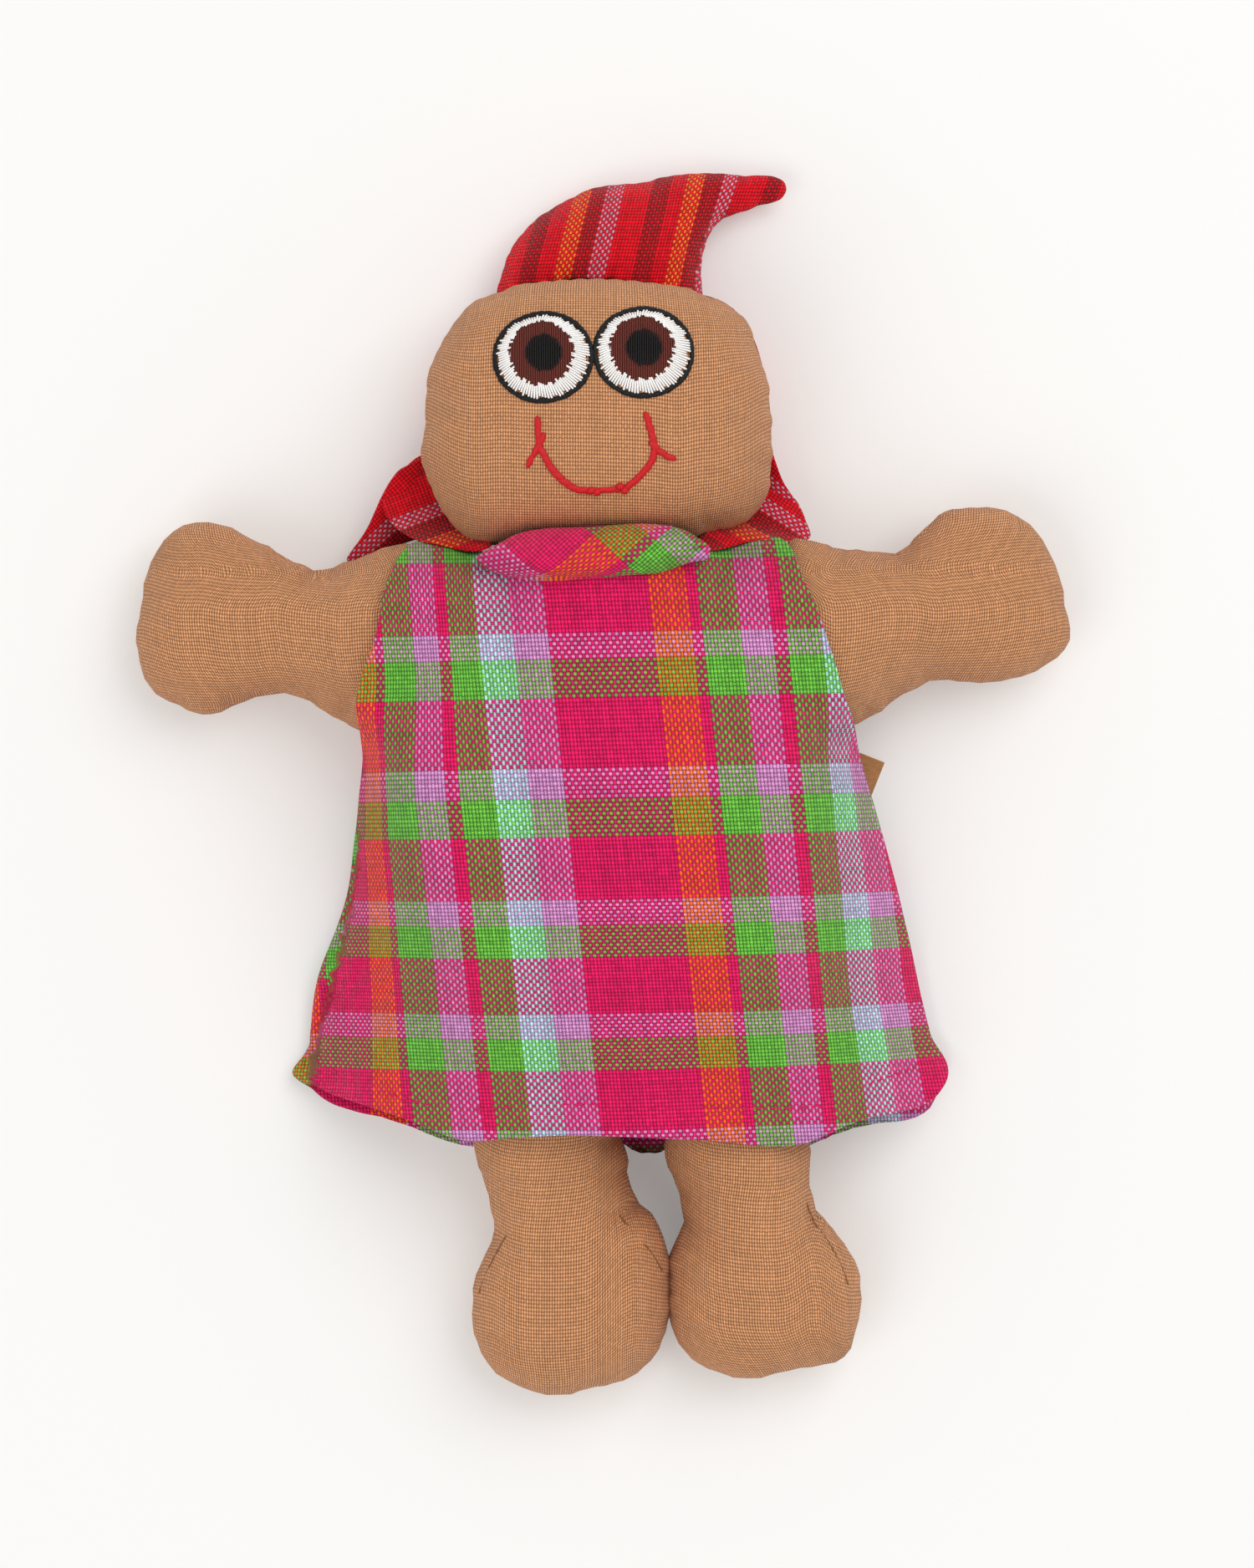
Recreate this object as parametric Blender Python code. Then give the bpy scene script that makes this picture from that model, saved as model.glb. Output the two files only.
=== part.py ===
"""A cloth doll about 25 cm tall, lying on its back, in metres.

The doll looks up along +Z and its peak points along +Y. Left means the -X side, as seen from above.
Stuffed pieces are two flat panels sewn along one outline and filled: each is drawn as its outline,
and its two faces rise and fall from the seam as a filled pouch does. Garments are sheets of cloth
laid over those pieces with a running clearance.
"""

import bmesh
import bpy
import numpy as np
from mathutils import Vector
from mathutils.bvhtree import BVHTree
from mathutils.geometry import delaunay_2d_cdt, interpolate_bezier

# Cloth and clearances
CLOTH = 0.0008
GAP = 0.00035
DRESS_EASE = 0.0007
STEEPEST = 3.0
MERGE = 1e-7
NOWHERE_BELOW = -1.0
NOWHERE_ABOVE = 1.0
HOOD_SLACK = 0.000004
HOOD_EASING = 2
DRESS_LIFT = 0.0024
DRESS_LIFT_ROOM = 0.0080
FALL = 0.000400

# Head
HEAD_WIDTH = 0.0728
HEAD_HEIGHT = 0.0561
HEAD_X = -0.0013
HEAD_Y = 0.0757
HEAD_FRONT = 0.0250
HEAD_BACK = 0.0215
HEAD_SEAM_Z = 0.0200
HEAD_STEP = 0.0037

# Body, arms and legs
SHOULDER_SPAN = 0.0901
SHOULDER_X = -0.0004
SHOULDER_Y = 0.0313
ARM_LENGTH = 0.0505
HAND_WIDTH = 0.0385
ARM_TILT = 0.0034
HIP_X = 0.0088
HIP_Y = -0.0614
LEG_SPREAD = 0.0405
CROTCH_RISE = 0.0026
LEG_LENGTH = 0.0634
FOOT_WIDTH = 0.0413
WAIST_WIDTH = 0.0867
NECK_WIDTH = 0.0240
NECK_CURVE = 0.0060
BODY_SEAM_Z = 0.0172
BODY_FRONT_LIMIT = 0.0360
BODY_BACK_LIMIT = 0.0230
BODY_STUFFING = 1.05
HAND_DROOP = 0.0060
FOOT_DROOP = 0.0054
BODY_STEP = 0.0044

# Hood
HOOD_RIM_DROP = 0.0025
HOOD_RIM_DROP_UNDER_PEAK = 0.0080
HOOD_STEP = 0.0036
PEAK_LENGTH = 0.0593
PEAK_RISE = 0.0238
PEAK_X = -0.0209
PEAK_BASE_DROP = 0.0027
PEAK_HALF_THICKNESS = 0.0082
PEAK_ROOT_Z = 0.0100
PEAK_TIP_Z = 0.0050
PEAK_TUCK = 0.0120
PEAK_STEP = 0.0032

# Dress
DRESS_LENGTH = 0.1229
HEM_WIDTH = 0.1294
HEM_X = 0.0042
HEM_Y = -0.0726
BACK_HEM_DROP = 0.0029
ARMHOLE_HEIGHT = 0.0370
SIDE_SEAM_Z = 0.0062
CORNER_SEAM_Z = 0.0024
ARMPIT_SHARE = 0.45
SHOULDER_SHARE = 0.42
HEM_CORNER_SHARE = 0.10
DRESS_STEP = 0.0050

# Scarf
SCARF_WIDTH = 0.0105
SCARF_THICKNESS = 0.0050
SCARF_SPAN = 0.0470
SCARF_X = -0.0023
SCARF_Y = 0.0460
SCARF_SAG = 0.00070
SCARF_STEP = 0.0026
CROWN_EASING = 12

# Embroidery
THREAD = 0.0008
STITCH_GAP = 0.0003
EYE_WIDTH = 0.0196
EYE_HEIGHT = 0.0190
EYE_LINE = 0.0009
IRIS_WIDTH = 0.0134
PUPIL_WIDTH = 0.0078
EYE_SPACING = 0.0200
EYE_TILT = 0.0010
EYE_X = -0.0019
EYE_Y = 0.0857
IRIS_SHIFT_X = -0.0004
IRIS_SHIFT_Y = 0.0008
PUPIL_SHIFT_X = 0.0005
EYE_SIDES = 36
SMILE_WIDTH = 0.0239
SMILE_HEIGHT = 0.0146
SMILE_X = -0.0015
SMILE_Y = 0.0652
SMILE_THREAD = 0.0012

# Swing tag
TAG_WIDTH = 0.0220
TAG_LENGTH = 0.0300
TAG_THICKNESS = 0.0005
TAG_CORNER_X = 0.4475 * HEM_WIDTH
TAG_CORNER_Y = 0.0046
TAG_TURN = -0.380

# Outlines run anticlockwise. Each pair is a share of the piece's own width and height.
HEAD_OUTLINE = [
    (0.033, 0.500), (-0.117, 0.491), (-0.264, 0.458), (-0.355, 0.400), (-0.425, 0.290),
    (-0.470, 0.130), (-0.484, -0.040), (-0.500, -0.165), (-0.474, -0.290), (-0.432, -0.400),
    (-0.335, -0.492), (-0.173, -0.500), (0.014, -0.500), (0.200, -0.490), (0.346, -0.455),
    (0.446, -0.385), (0.488, -0.295), (0.500, -0.180), (0.488, 0.001), (0.467, 0.172),
    (0.425, 0.327), (0.360, 0.410), (0.236, 0.463),
]
# Outwards from the shoulder as a share of the arm's length, and across as a share of the hand's width.
LEFT_ARM = [
    (-0.067, 0.491), (0.114, 0.416), (0.276, 0.367), (0.428, 0.482), (0.566, 0.571),
    (0.747, 0.633), (0.835, 0.584), (0.912, 0.465), (0.983, 0.150), (1.000, -0.022),
    (0.987, -0.155), (0.953, -0.235), (0.835, -0.314), (0.704, -0.372), (0.522, -0.283),
    (0.394, -0.252), (0.293, -0.314), (0.101, -0.478), (0.010, -0.562),
]
RIGHT_ARM = [
    (0.017, -0.650), (0.111, -0.562), (0.219, -0.469), (0.343, -0.354), (0.458, -0.274),
    (0.694, -0.274), (0.912, -0.199), (0.990, -0.106), (1.017, 0.009), (0.993, 0.115),
    (0.970, 0.252), (0.912, 0.403), (0.791, 0.588), (0.694, 0.619), (0.562, 0.624),
    (0.502, 0.615), (0.400, 0.491), (0.306, 0.363), (0.182, 0.372), (0.050, 0.398),
    (-0.084, 0.411),
]
# Across as a share of the foot's width, and down from the hip as a share of the leg's length.
LEFT_LEG = [
    (-0.379, 0.164), (-0.333, 0.268), (-0.259, 0.434), (-0.280, 0.504), (-0.350, 0.584),
    (-0.391, 0.686), (-0.391, 0.777), (-0.329, 0.893), (-0.226, 0.960), (-0.095, 0.997),
    (0.053, 1.000), (0.218, 0.984), (0.383, 0.941), (0.518, 0.879), (0.570, 0.777),
    (0.593, 0.684), (0.560, 0.558), (0.470, 0.475), (0.383, 0.402), (0.370, 0.284),
    (0.383, 0.155),
]
RIGHT_LEG = [
    (-0.428, 0.155), (-0.374, 0.247), (-0.317, 0.349), (-0.276, 0.437), (-0.330, 0.523),
    (-0.360, 0.617), (-0.363, 0.729), (-0.325, 0.826), (-0.198, 0.903), (0.029, 0.941),
    (0.276, 0.925), (0.502, 0.887), (0.560, 0.818), (0.588, 0.718), (0.564, 0.603),
    (0.473, 0.499), (0.366, 0.408), (0.329, 0.335), (0.333, 0.241), (0.325, 0.164),
]
# From the peak's left root, as a share of its length, and up as a share of its rise.
PEAK_OUTLINE = [
    (0.012, 0.200), (0.049, 0.400), (0.118, 0.580), (0.218, 0.740), (0.348, 0.882),
    (0.524, 0.932), (0.624, 0.985), (0.731, 1.000), (0.808, 0.985), (0.838, 0.962),
    (0.915, 0.980), (0.975, 0.945), (1.000, 0.885), (0.993, 0.790), (0.962, 0.722),
    (0.885, 0.694), (0.824, 0.637), (0.770, 0.580), (0.736, 0.502), (0.716, 0.408),
    (0.704, 0.255),
]
# As a share of the head's width and height, and of the height of its seam above the rest.
HOOD_LEFT = [
    (-0.554, -0.195, 0.78), (-0.606, -0.295, 0.64), (-0.648, -0.413, 0.50),
    (-0.712, -0.535, 0.30), (-0.615, -0.505, 0.32), (-0.529, -0.460, 0.36),
    (-0.440, -0.440, 0.44), (-0.320, -0.440, 0.40), (-0.150, -0.450, 0.16),
]
HOOD_RIGHT = [
    (0.150, -0.450, 0.16), (0.320, -0.440, 0.40), (0.430, -0.430, 0.44),
    (0.530, -0.430, 0.36), (0.600, -0.440, 0.32), (0.590, -0.385, 0.50),
    (0.567, -0.319, 0.64), (0.527, -0.240, 0.78),
]
# From the middle of the hem, as a share of its width, and up as a share of the dress's length.
SIDE_LEFT = [
    (-0.409, 0.672), (-0.418, 0.540), (-0.440, 0.380), (-0.478, 0.190), (-0.500, 0.100),
]
HEM = [
    (-0.466, 0.072), (-0.398, 0.043), (-0.324, 0.012), (-0.245, 0.006), (-0.140, 0.018),
    (-0.035, 0.021), (0.136, 0.012), (0.202, 0.002), (0.280, 0.002), (0.379, 0.035),
    (0.451, 0.050), (0.491, 0.067),
]
SIDE_RIGHT = [
    (0.505, 0.098), (0.477, 0.218), (0.452, 0.339), (0.417, 0.485), (0.385, 0.599),
    (0.361, 0.691),
]
# Each fold's start and end in the same shares, with its height and width.
FOLDS = [
    (-0.385, 0.820, -0.425, 0.300, 0.0014, 0.0050), (-0.215, 0.340, -0.290, 0.020, 0.0011, 0.0060),
    (0.290, 0.380, 0.360, 0.020, 0.0011, 0.0060), (0.040, 0.260, 0.030, 0.020, 0.0009, 0.0060),
]
# From the shoulder line, as a share of half the shoulder span and of the armhole's height.
ARMHOLE_RIGHT = [
    (1.094, -0.400), (1.035, -0.162), (0.960, 0.114), (0.890, 0.297), (0.830, 0.505),
]
NECKLINE = [
    (0.620, 0.520), (0.440, 0.430), (0.000, 0.330), (-0.440, 0.400), (-0.640, 0.480),
]
ARMHOLE_LEFT = [
    (-0.850, 0.495), (-0.940, 0.297), (-1.008, 0.068), (-1.063, -0.208), (-1.090, -0.438),
]
# Along the band as a share of its span, then across it as a share of its width.
SCARF_OUTLINE = [
    (-0.500, -0.050), (-0.420, -0.330), (-0.210, -0.520), (0.060, -0.450), (0.330, -0.350),
    (0.500, -0.180), (0.510, 0.100), (0.400, 0.480), (0.230, 0.600), (0.000, 0.540),
    (-0.250, 0.480), (-0.430, 0.260),
]
# Across and up as a share of the smile's width and height.
SMILE = [
    (-0.485, 0.470), (-0.485, 0.190), (-0.440, 0.020), (-0.365, -0.200), (-0.240, -0.400),
    (-0.150, -0.470), (0.000, -0.490), (0.240, -0.455), (0.340, -0.370), (0.440, -0.220),
    (0.500, -0.060), (0.515, 0.130), (0.470, 0.340), (0.440, 0.500),
]
LEFT_TICK = [(-0.610, 0.100), (-0.650, -0.030)]
RIGHT_TICK = [(0.640, 0.060), (0.700, 0.000), (0.780, -0.010)]


def smooth_line(points, step, closed=True):
    """Points about one step apart on a smooth curve through the given ones."""
    points = [Vector((p[0], p[1], p[2] if len(p) > 2 else 0.0)) for p in points]
    count = len(points)
    last = count if closed else count - 1
    line = []
    for i in range(last):
        here, there = points[i], points[(i + 1) % count]
        before = points[i - 1] if closed or i > 0 else here
        after = points[(i + 2) % count] if closed or i + 2 < count else there
        pieces = max(1, round((there - here).length / step))
        stretch = interpolate_bezier(
            here, here + (there - before) / 6, there - (after - here) / 6, there, pieces + 1
        )
        line.extend(stretch[:-1])
    if not closed:
        line.append(points[-1])
    return np.array([tuple(p) for p in line])


def inside(loop, points):
    """Which of the points lie inside the closed loop."""
    crossed = np.zeros(len(points), int)
    for a, b in zip(loop, np.roll(loop, -1, axis=0)):
        spans = (a[1] > points[:, 1]) != (b[1] > points[:, 1])
        rise = b[1] - a[1] if b[1] != a[1] else 1.0
        x = a[0] + (points[:, 1] - a[1]) * (b[0] - a[0]) / rise
        crossed += spans & (points[:, 0] < x)
    return crossed % 2 == 1


def distance_to(loop, points):
    """How far each point is from the closed loop."""
    best = np.full(len(points), np.inf)
    for a, b in zip(loop, np.roll(loop, -1, axis=0)):
        along = b - a
        share = np.clip(((points - a) @ along) / max(along @ along, 1e-18), 0.0, 1.0)
        best = np.minimum(best, np.linalg.norm(points - a - share[:, None] * along, axis=1))
    return best


class Panel:
    """A flat piece of cloth: its points, triangles and rim."""

    def __init__(self, loop, step):
        loop = np.asarray(loop)[:, :2]
        row_step = step * np.sqrt(0.75)
        low, high = loop.min(0), loop.max(0)
        rows = np.arange(np.floor(low[1] / row_step), np.ceil(high[1] / row_step) + 1)
        columns = np.arange(np.floor(low[0] / step) - 1, np.ceil(high[0] / step) + 1)
        grid = np.array([((c + 0.5 * (r % 2)) * step, r * row_step) for r in rows for c in columns])
        keep = inside(loop, grid) & (distance_to(loop, grid) > 0.55 * step)
        points = [Vector(p) for p in np.concatenate([loop, grid[keep]])]
        corners = list(range(len(loop)))
        edges = list(zip(corners, corners[1:] + corners[:1]))
        made = delaunay_2d_cdt(points, edges, [corners], 1, MERGE)
        self.points = np.array([tuple(p) for p in made[0]])
        self.triangles = np.array([tuple(f) for f in made[2]])
        where = {}
        for new, old in enumerate(made[3]):
            for i in old:
                where[i] = new
        self.rim = [where[i] for i in range(len(loop))]
        self.on_rim = np.zeros(len(self.points), bool)
        self.on_rim[self.rim] = True
        flat = self.points[self.triangles]
        a, b = flat[:, 1] - flat[:, 0], flat[:, 2] - flat[:, 0]
        turned = a[:, 0] * b[:, 1] - a[:, 1] * b[:, 0] < 0
        self.triangles[turned] = self.triangles[turned][:, ::-1]
        if signed_area(loop) < 0:
            self.rim = self.rim[::-1]
        ends = np.concatenate([self.triangles[:, pair] for pair in ([0, 1], [1, 2], [2, 0])])
        self.ends = np.unique(np.concatenate([ends, ends[:, ::-1]]), axis=0)

    def fullness(self):
        """The half-thickness of a round pouch of this outline at each point."""
        count = len(self.points)
        stiffness, load = np.zeros((count, count)), np.zeros(count)
        for t in self.triangles:
            p = self.points[t]
            area = 0.5 * signed_cross(p[1] - p[0], p[2] - p[0])
            for k in range(3):
                i, j, o = t[k], t[(k + 1) % 3], t[(k + 2) % 3]
                u, v = self.points[i] - self.points[o], self.points[j] - self.points[o]
                weight = 0.5 * (u @ v) / max(2 * area, 1e-15)
                stiffness[i, j] -= weight
                stiffness[j, i] -= weight
                stiffness[i, i] += weight
                stiffness[j, j] += weight
                load[i] += area / 3
        free = np.flatnonzero(~self.on_rim)
        rise = np.zeros(count)
        rise[free] = np.linalg.solve(stiffness[np.ix_(free, free)], load[free])
        return np.sqrt(np.maximum(2 * rise, 0.0))

    def neighbours_mean(self, z):
        start, end = self.ends.T
        total = np.bincount(start, weights=z[end], minlength=len(z))
        return total / np.bincount(start, minlength=len(z))

    def settle(self, start, fixed, low, high, sag, rounds=600):
        """A stretched sheet held at its fixed points, kept between two surfaces."""
        z = np.minimum(np.maximum(start, low), high)
        for _ in range(rounds):
            mean = self.neighbours_mean(z) - sag
            z = np.where(fixed, start, np.minimum(np.maximum(mean, low), high))
        return z

    def samples(self, fineness=4):
        """Points spread over every triangle, with their shares of its corners."""
        shares = [(i, j, fineness - i - j) for i in range(fineness + 1)
                  for j in range(fineness + 1 - i)]
        shares = np.array(shares) / fineness
        return shares, np.einsum("sk,tkc->tsc", shares, self.points[self.triangles])

    def kept_clear(self, z, limit, side):
        """The surface moved up (side 1) or down (side -1) until no part of it passes the limit."""
        shares, places = self.samples()
        bound = limit(places.reshape(-1, 2)).reshape(places.shape[:2])
        z = z.copy()
        for _ in range(4):
            here = z[self.triangles] @ shares.T
            short = np.maximum((bound - here) * side, 0).max(axis=1)
            move = np.zeros(len(z))
            np.maximum.at(move, self.triangles, short[:, None])
            z += side * move
        return z


def signed_cross(a, b):
    return a[0] * b[1] - a[1] * b[0]


def signed_area(loop):
    ahead = np.roll(loop, -1, axis=0)
    return 0.5 * float((loop[:, 0] * ahead[:, 1] - loop[:, 1] * ahead[:, 0]).sum())


def smoothstep(value):
    value = np.clip(value, 0.0, 1.0)
    return value * value * (3 - 2 * value)


def cloth_material(name, colour, roughness=0.9):
    made = bpy.data.materials.new(name)
    made.use_nodes = True
    shader = made.node_tree.nodes["Principled BSDF"]
    shader.inputs["Base Color"].default_value = (*colour, 1.0)
    shader.inputs["Roughness"].default_value = roughness
    shader.inputs["Metallic"].default_value = 0.0
    return made


def add_object(name, mesh, material, helper=False):
    made = bpy.data.objects.new(name, mesh)
    bpy.context.scene.collection.objects.link(made)
    made.parent = doll
    if helper:
        made.hide_render = True
        made.display_type = "WIRE"
    else:
        mesh.materials.append(material)
    return made


def layered(name, panel, top, bottom, material, helper=False):
    """A closed solid between two heights over a panel. Where they meet on the rim it is one seam."""
    sheet = bmesh.new()
    upper = [sheet.verts.new((*p, z)) for p, z in zip(panel.points, top)]
    lower = [
        upper[i] if panel.on_rim[i] and top[i] - bottom[i] < MERGE else
        sheet.verts.new((*panel.points[i], bottom[i]))
        for i in range(len(panel.points))
    ]
    for a, b, c in panel.triangles:
        if all(upper[i] is lower[i] for i in (a, b, c)):
            continue
        sheet.faces.new((upper[a], upper[b], upper[c]))
        sheet.faces.new((lower[c], lower[b], lower[a]))
    for a, b in zip(panel.rim, panel.rim[1:] + panel.rim[:1]):
        corners = [upper[b], upper[a], lower[a], lower[b]]
        corners = [v for k, v in enumerate(corners) if v is not corners[k - 1]]
        if len(corners) > 2:
            sheet.faces.new(corners)
    bmesh.ops.recalc_face_normals(sheet, faces=sheet.faces)
    mesh = bpy.data.meshes.new(name)
    sheet.to_mesh(mesh)
    sheet.free()
    mesh.shade_smooth()
    return add_object(name, mesh, material, helper)


def swollen(name, source, distance):
    """A helper: the source's shape grown by a clearance on every side."""
    mesh = source.data.copy()
    for vertex, old in zip(mesh.vertices, source.data.vertices):
        vertex.co = old.co + old.normal * distance
    return add_object(name, mesh, None, helper=True)


def cut(target, cutter):
    made = target.modifiers.new("clear of " + cutter.name, "BOOLEAN")
    made.operation = "DIFFERENCE"
    made.object = cutter
    made.solver = "EXACT"


class Heights:
    """Reads how high an object's upper and lower faces lie at a place, grown by a clearance."""

    def __init__(self, obj, clearance=0.0):
        obj.data.calc_loop_triangles()
        self.tree = BVHTree.FromPolygons(
            [tuple(v.co + v.normal * clearance) for v in obj.data.vertices],
            [tuple(t.vertices) for t in obj.data.loop_triangles],
        )

    def read(self, points, start_z, missing):
        found = np.full(len(points), missing)
        down = Vector((0, 0, -start_z))
        for i, (x, y) in enumerate(points):
            place = self.tree.ray_cast(Vector((x, y, start_z)), down)[0]
            if place is not None:
                found[i] = place.z
        return found

    def top(self, points):
        return self.read(points, 1.0, NOWHERE_BELOW)

    def bottom(self, points):
        return self.read(points, -1.0, NOWHERE_ABOVE)


def pouch_height(fullness, stuffing, limit):
    """Round at the seam and flatter in the middle of a wide piece."""
    return stuffing * fullness / np.sqrt(1 + (stuffing * fullness / limit) ** 2)


def head_loop():
    points = [(HEAD_X + x * HEAD_WIDTH, HEAD_Y + y * HEAD_HEIGHT) for x, y in HEAD_OUTLINE]
    return smooth_line(points, HEAD_STEP)[:, :2]


def domed(fullness, height, flatness=0.8):
    share = fullness / fullness.max()
    return height * share * np.sqrt((1 + flatness) / (1 + flatness * share ** 2))


def make_head():
    panel = Panel(head_loop(), HEAD_STEP)
    fullness = panel.fullness()
    top = HEAD_SEAM_Z + domed(fullness, HEAD_FRONT)
    rest = CLOTH + GAP
    bottom = np.maximum(HEAD_SEAM_Z - domed(fullness, HEAD_BACK), rest)
    bottom[panel.on_rim] = top[panel.on_rim]
    return layered("head", panel, top, bottom, skin)


def body_loop():
    shoulder = SHOULDER_SPAN / 2
    left_arm = [(SHOULDER_X - shoulder - x * ARM_LENGTH, SHOULDER_Y - ARM_TILT / 2 + y * HAND_WIDTH)
                for x, y in LEFT_ARM]
    right_arm = [(SHOULDER_X + shoulder + x * ARM_LENGTH, SHOULDER_Y + ARM_TILT / 2 + y * HAND_WIDTH)
                 for x, y in RIGHT_ARM]
    left_leg = [(HIP_X - LEG_SPREAD / 2 + x * FOOT_WIDTH, HIP_Y - y * LEG_LENGTH)
                for x, y in LEFT_LEG]
    right_leg = [(HIP_X + LEG_SPREAD / 2 + x * FOOT_WIDTH, HIP_Y - y * LEG_LENGTH)
                 for x, y in RIGHT_LEG]
    waist_y = (left_arm[-1][1] + HIP_Y) / 2
    waist_left = (HIP_X / 2 - WAIST_WIDTH / 2, waist_y)
    waist_right = (HIP_X / 2 + WAIST_WIDTH / 2, waist_y)
    crotch = (HIP_X, HIP_Y + CROTCH_RISE)
    neck_y = HEAD_Y - HEAD_HEIGHT / 2
    neck = [(NECK_WIDTH / 2 + NECK_CURVE, neck_y - 0.6 * NECK_CURVE), (NECK_WIDTH / 2, neck_y + GAP),
            (-NECK_WIDTH / 2, neck_y + GAP), (-NECK_WIDTH / 2 - NECK_CURVE, neck_y - 0.6 * NECK_CURVE)]
    points = (left_arm + [waist_left] + left_leg + [crotch] + right_leg + [waist_right]
              + right_arm + neck)
    return smooth_line(points, BODY_STEP)[:, :2]


def body_seam_z(points):
    """The limbs droop from the torso's seam towards the surface that the doll lies on."""
    out = np.maximum(np.abs(points[:, 0]) - SHOULDER_SPAN / 2, 0.0) / ARM_LENGTH
    down = np.maximum(HIP_Y - points[:, 1], 0.0) / LEG_LENGTH
    return BODY_SEAM_Z - HAND_DROOP * smoothstep(out) - FOOT_DROOP * smoothstep(down)


def make_body(head_clearance):
    panel = Panel(body_loop(), BODY_STEP)
    fullness = panel.fullness()
    seam = body_seam_z(panel.points)
    top = seam + pouch_height(fullness, BODY_STUFFING, BODY_FRONT_LIMIT)
    on_dress = panel.points[:, 1] > HEM_Y - BACK_HEM_DROP - BODY_STEP
    tag, over = tag_loop(), BODY_STEP + DRESS_STEP
    tag_below = inside(tag, panel.points) | (distance_to(tag, panel.points) < over)
    rest = np.where(on_dress, CLOTH + GAP, 0.0) + np.where(tag_below, TAG_THICKNESS + GAP, 0.0)
    bottom = np.maximum(seam - pouch_height(fullness, BODY_STUFFING, BODY_BACK_LIMIT), rest)
    bottom[panel.on_rim] = top[panel.on_rim]
    made = layered("body", panel, top, bottom, skin)
    cut(made, head_clearance)
    return made


def head_prism(name, loop):
    """A helper: everything straight above and below the head's outline."""
    panel = Panel(loop, HEAD_STEP * 2)
    far = np.full(len(panel.points), 1.0)
    return layered(name, panel, far, -far, None, helper=True)


def steep(panel, z):
    """How much taller than its cloth an upright cut through a sloping sheet is."""
    lean, count = np.zeros(len(z)), np.zeros(len(z))
    for t in panel.triangles:
        p = np.column_stack([panel.points[t], z[t]])
        normal = np.cross(p[1] - p[0], p[2] - p[0])
        lean[t] += min(np.linalg.norm(normal) / normal[2], STEEPEST)
        count[t] += 1
    return lean / count


def make_hood_back(head_space, body_space):
    under_peak = (PEAK_X, PEAK_X + PEAK_LENGTH * PEAK_OUTLINE[-1][0])
    points = []
    for x, y in HEAD_OUTLINE[-5:] + HEAD_OUTLINE[:8]:
        place = HEAD_X + x * HEAD_WIDTH
        covered = under_peak[0] < place < under_peak[1]
        drop = HOOD_RIM_DROP_UNDER_PEAK if covered else HOOD_RIM_DROP
        points.append((place, HEAD_Y + y * HEAD_HEIGHT, HEAD_SEAM_Z - drop))
    points += [(HEAD_X + x * HEAD_WIDTH, HEAD_Y + y * HEAD_HEIGHT, z * HEAD_SEAM_Z)
               for x, y, z in HOOD_LEFT + HOOD_RIGHT]
    line = smooth_line(points, HOOD_STEP)
    panel = Panel(line, HOOD_STEP)
    start = np.zeros(len(panel.points))
    start[panel.rim] = line[:, 2] if signed_area(line) > 0 else line[::-1, 2]

    def limit(places):
        return np.minimum(head_space.bottom(places), body_space.bottom(places))

    top = panel.settle(start, panel.on_rim, CLOTH, limit(panel.points), HOOD_SLACK)
    top = panel.kept_clear(top, limit, -1)
    for _ in range(HOOD_EASING):
        top = np.minimum(top, panel.neighbours_mean(top))
    top = np.maximum(top, CLOTH)
    bottom = np.maximum(top - CLOTH * steep(panel, top), 0.0)
    return layered("hood_back", panel, top, bottom, hood_red)


def make_hood_cap(prism):
    base_y = HEAD_Y + HEAD_HEIGHT / 2 - PEAK_BASE_DROP
    points = [(PEAK_X + x * PEAK_LENGTH, base_y + y * PEAK_RISE) for x, y in PEAK_OUTLINE[::-1]]
    right, left = points[0][0], PEAK_X
    points += [(left, base_y), (left, base_y - PEAK_TUCK), (right, base_y - PEAK_TUCK), (right, base_y)]
    panel = Panel(smooth_line(points, PEAK_STEP), PEAK_STEP)
    fullness = panel.fullness()
    along = np.clip((panel.points[:, 0] - PEAK_X) / PEAK_LENGTH, 0, 1)
    up = np.clip((panel.points[:, 1] - base_y) / PEAK_RISE, 0, 1)
    middle = PEAK_ROOT_Z + (PEAK_TIP_Z - PEAK_ROOT_Z) * smoothstep(np.maximum(up, along * up))
    dome = domed(fullness, PEAK_HALF_THICKNESS)
    top = middle + dome
    bottom = np.maximum(middle - dome, 0.0)
    bottom[panel.on_rim] = top[panel.on_rim]
    made = layered("hood_cap", panel, top, bottom, hood_red)
    cut(made, prism)
    return made


def dress_loop(hem_drop):
    hem = [(HEM_X + x * HEM_WIDTH, HEM_Y + y * DRESS_LENGTH - hem_drop) for x, y in HEM]
    left, right = (
        [(HEM_X + x * HEM_WIDTH, HEM_Y + y * DRESS_LENGTH) for x, y in side]
        for side in (SIDE_LEFT, SIDE_RIGHT)
    )
    top = [(SHOULDER_X + x * SHOULDER_SPAN / 2, SHOULDER_Y + y * ARMHOLE_HEIGHT)
           for x, y in ARMHOLE_RIGHT + NECKLINE + ARMHOLE_LEFT]
    return smooth_line(left + hem + right + top, DRESS_STEP)[:, :2]


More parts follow.
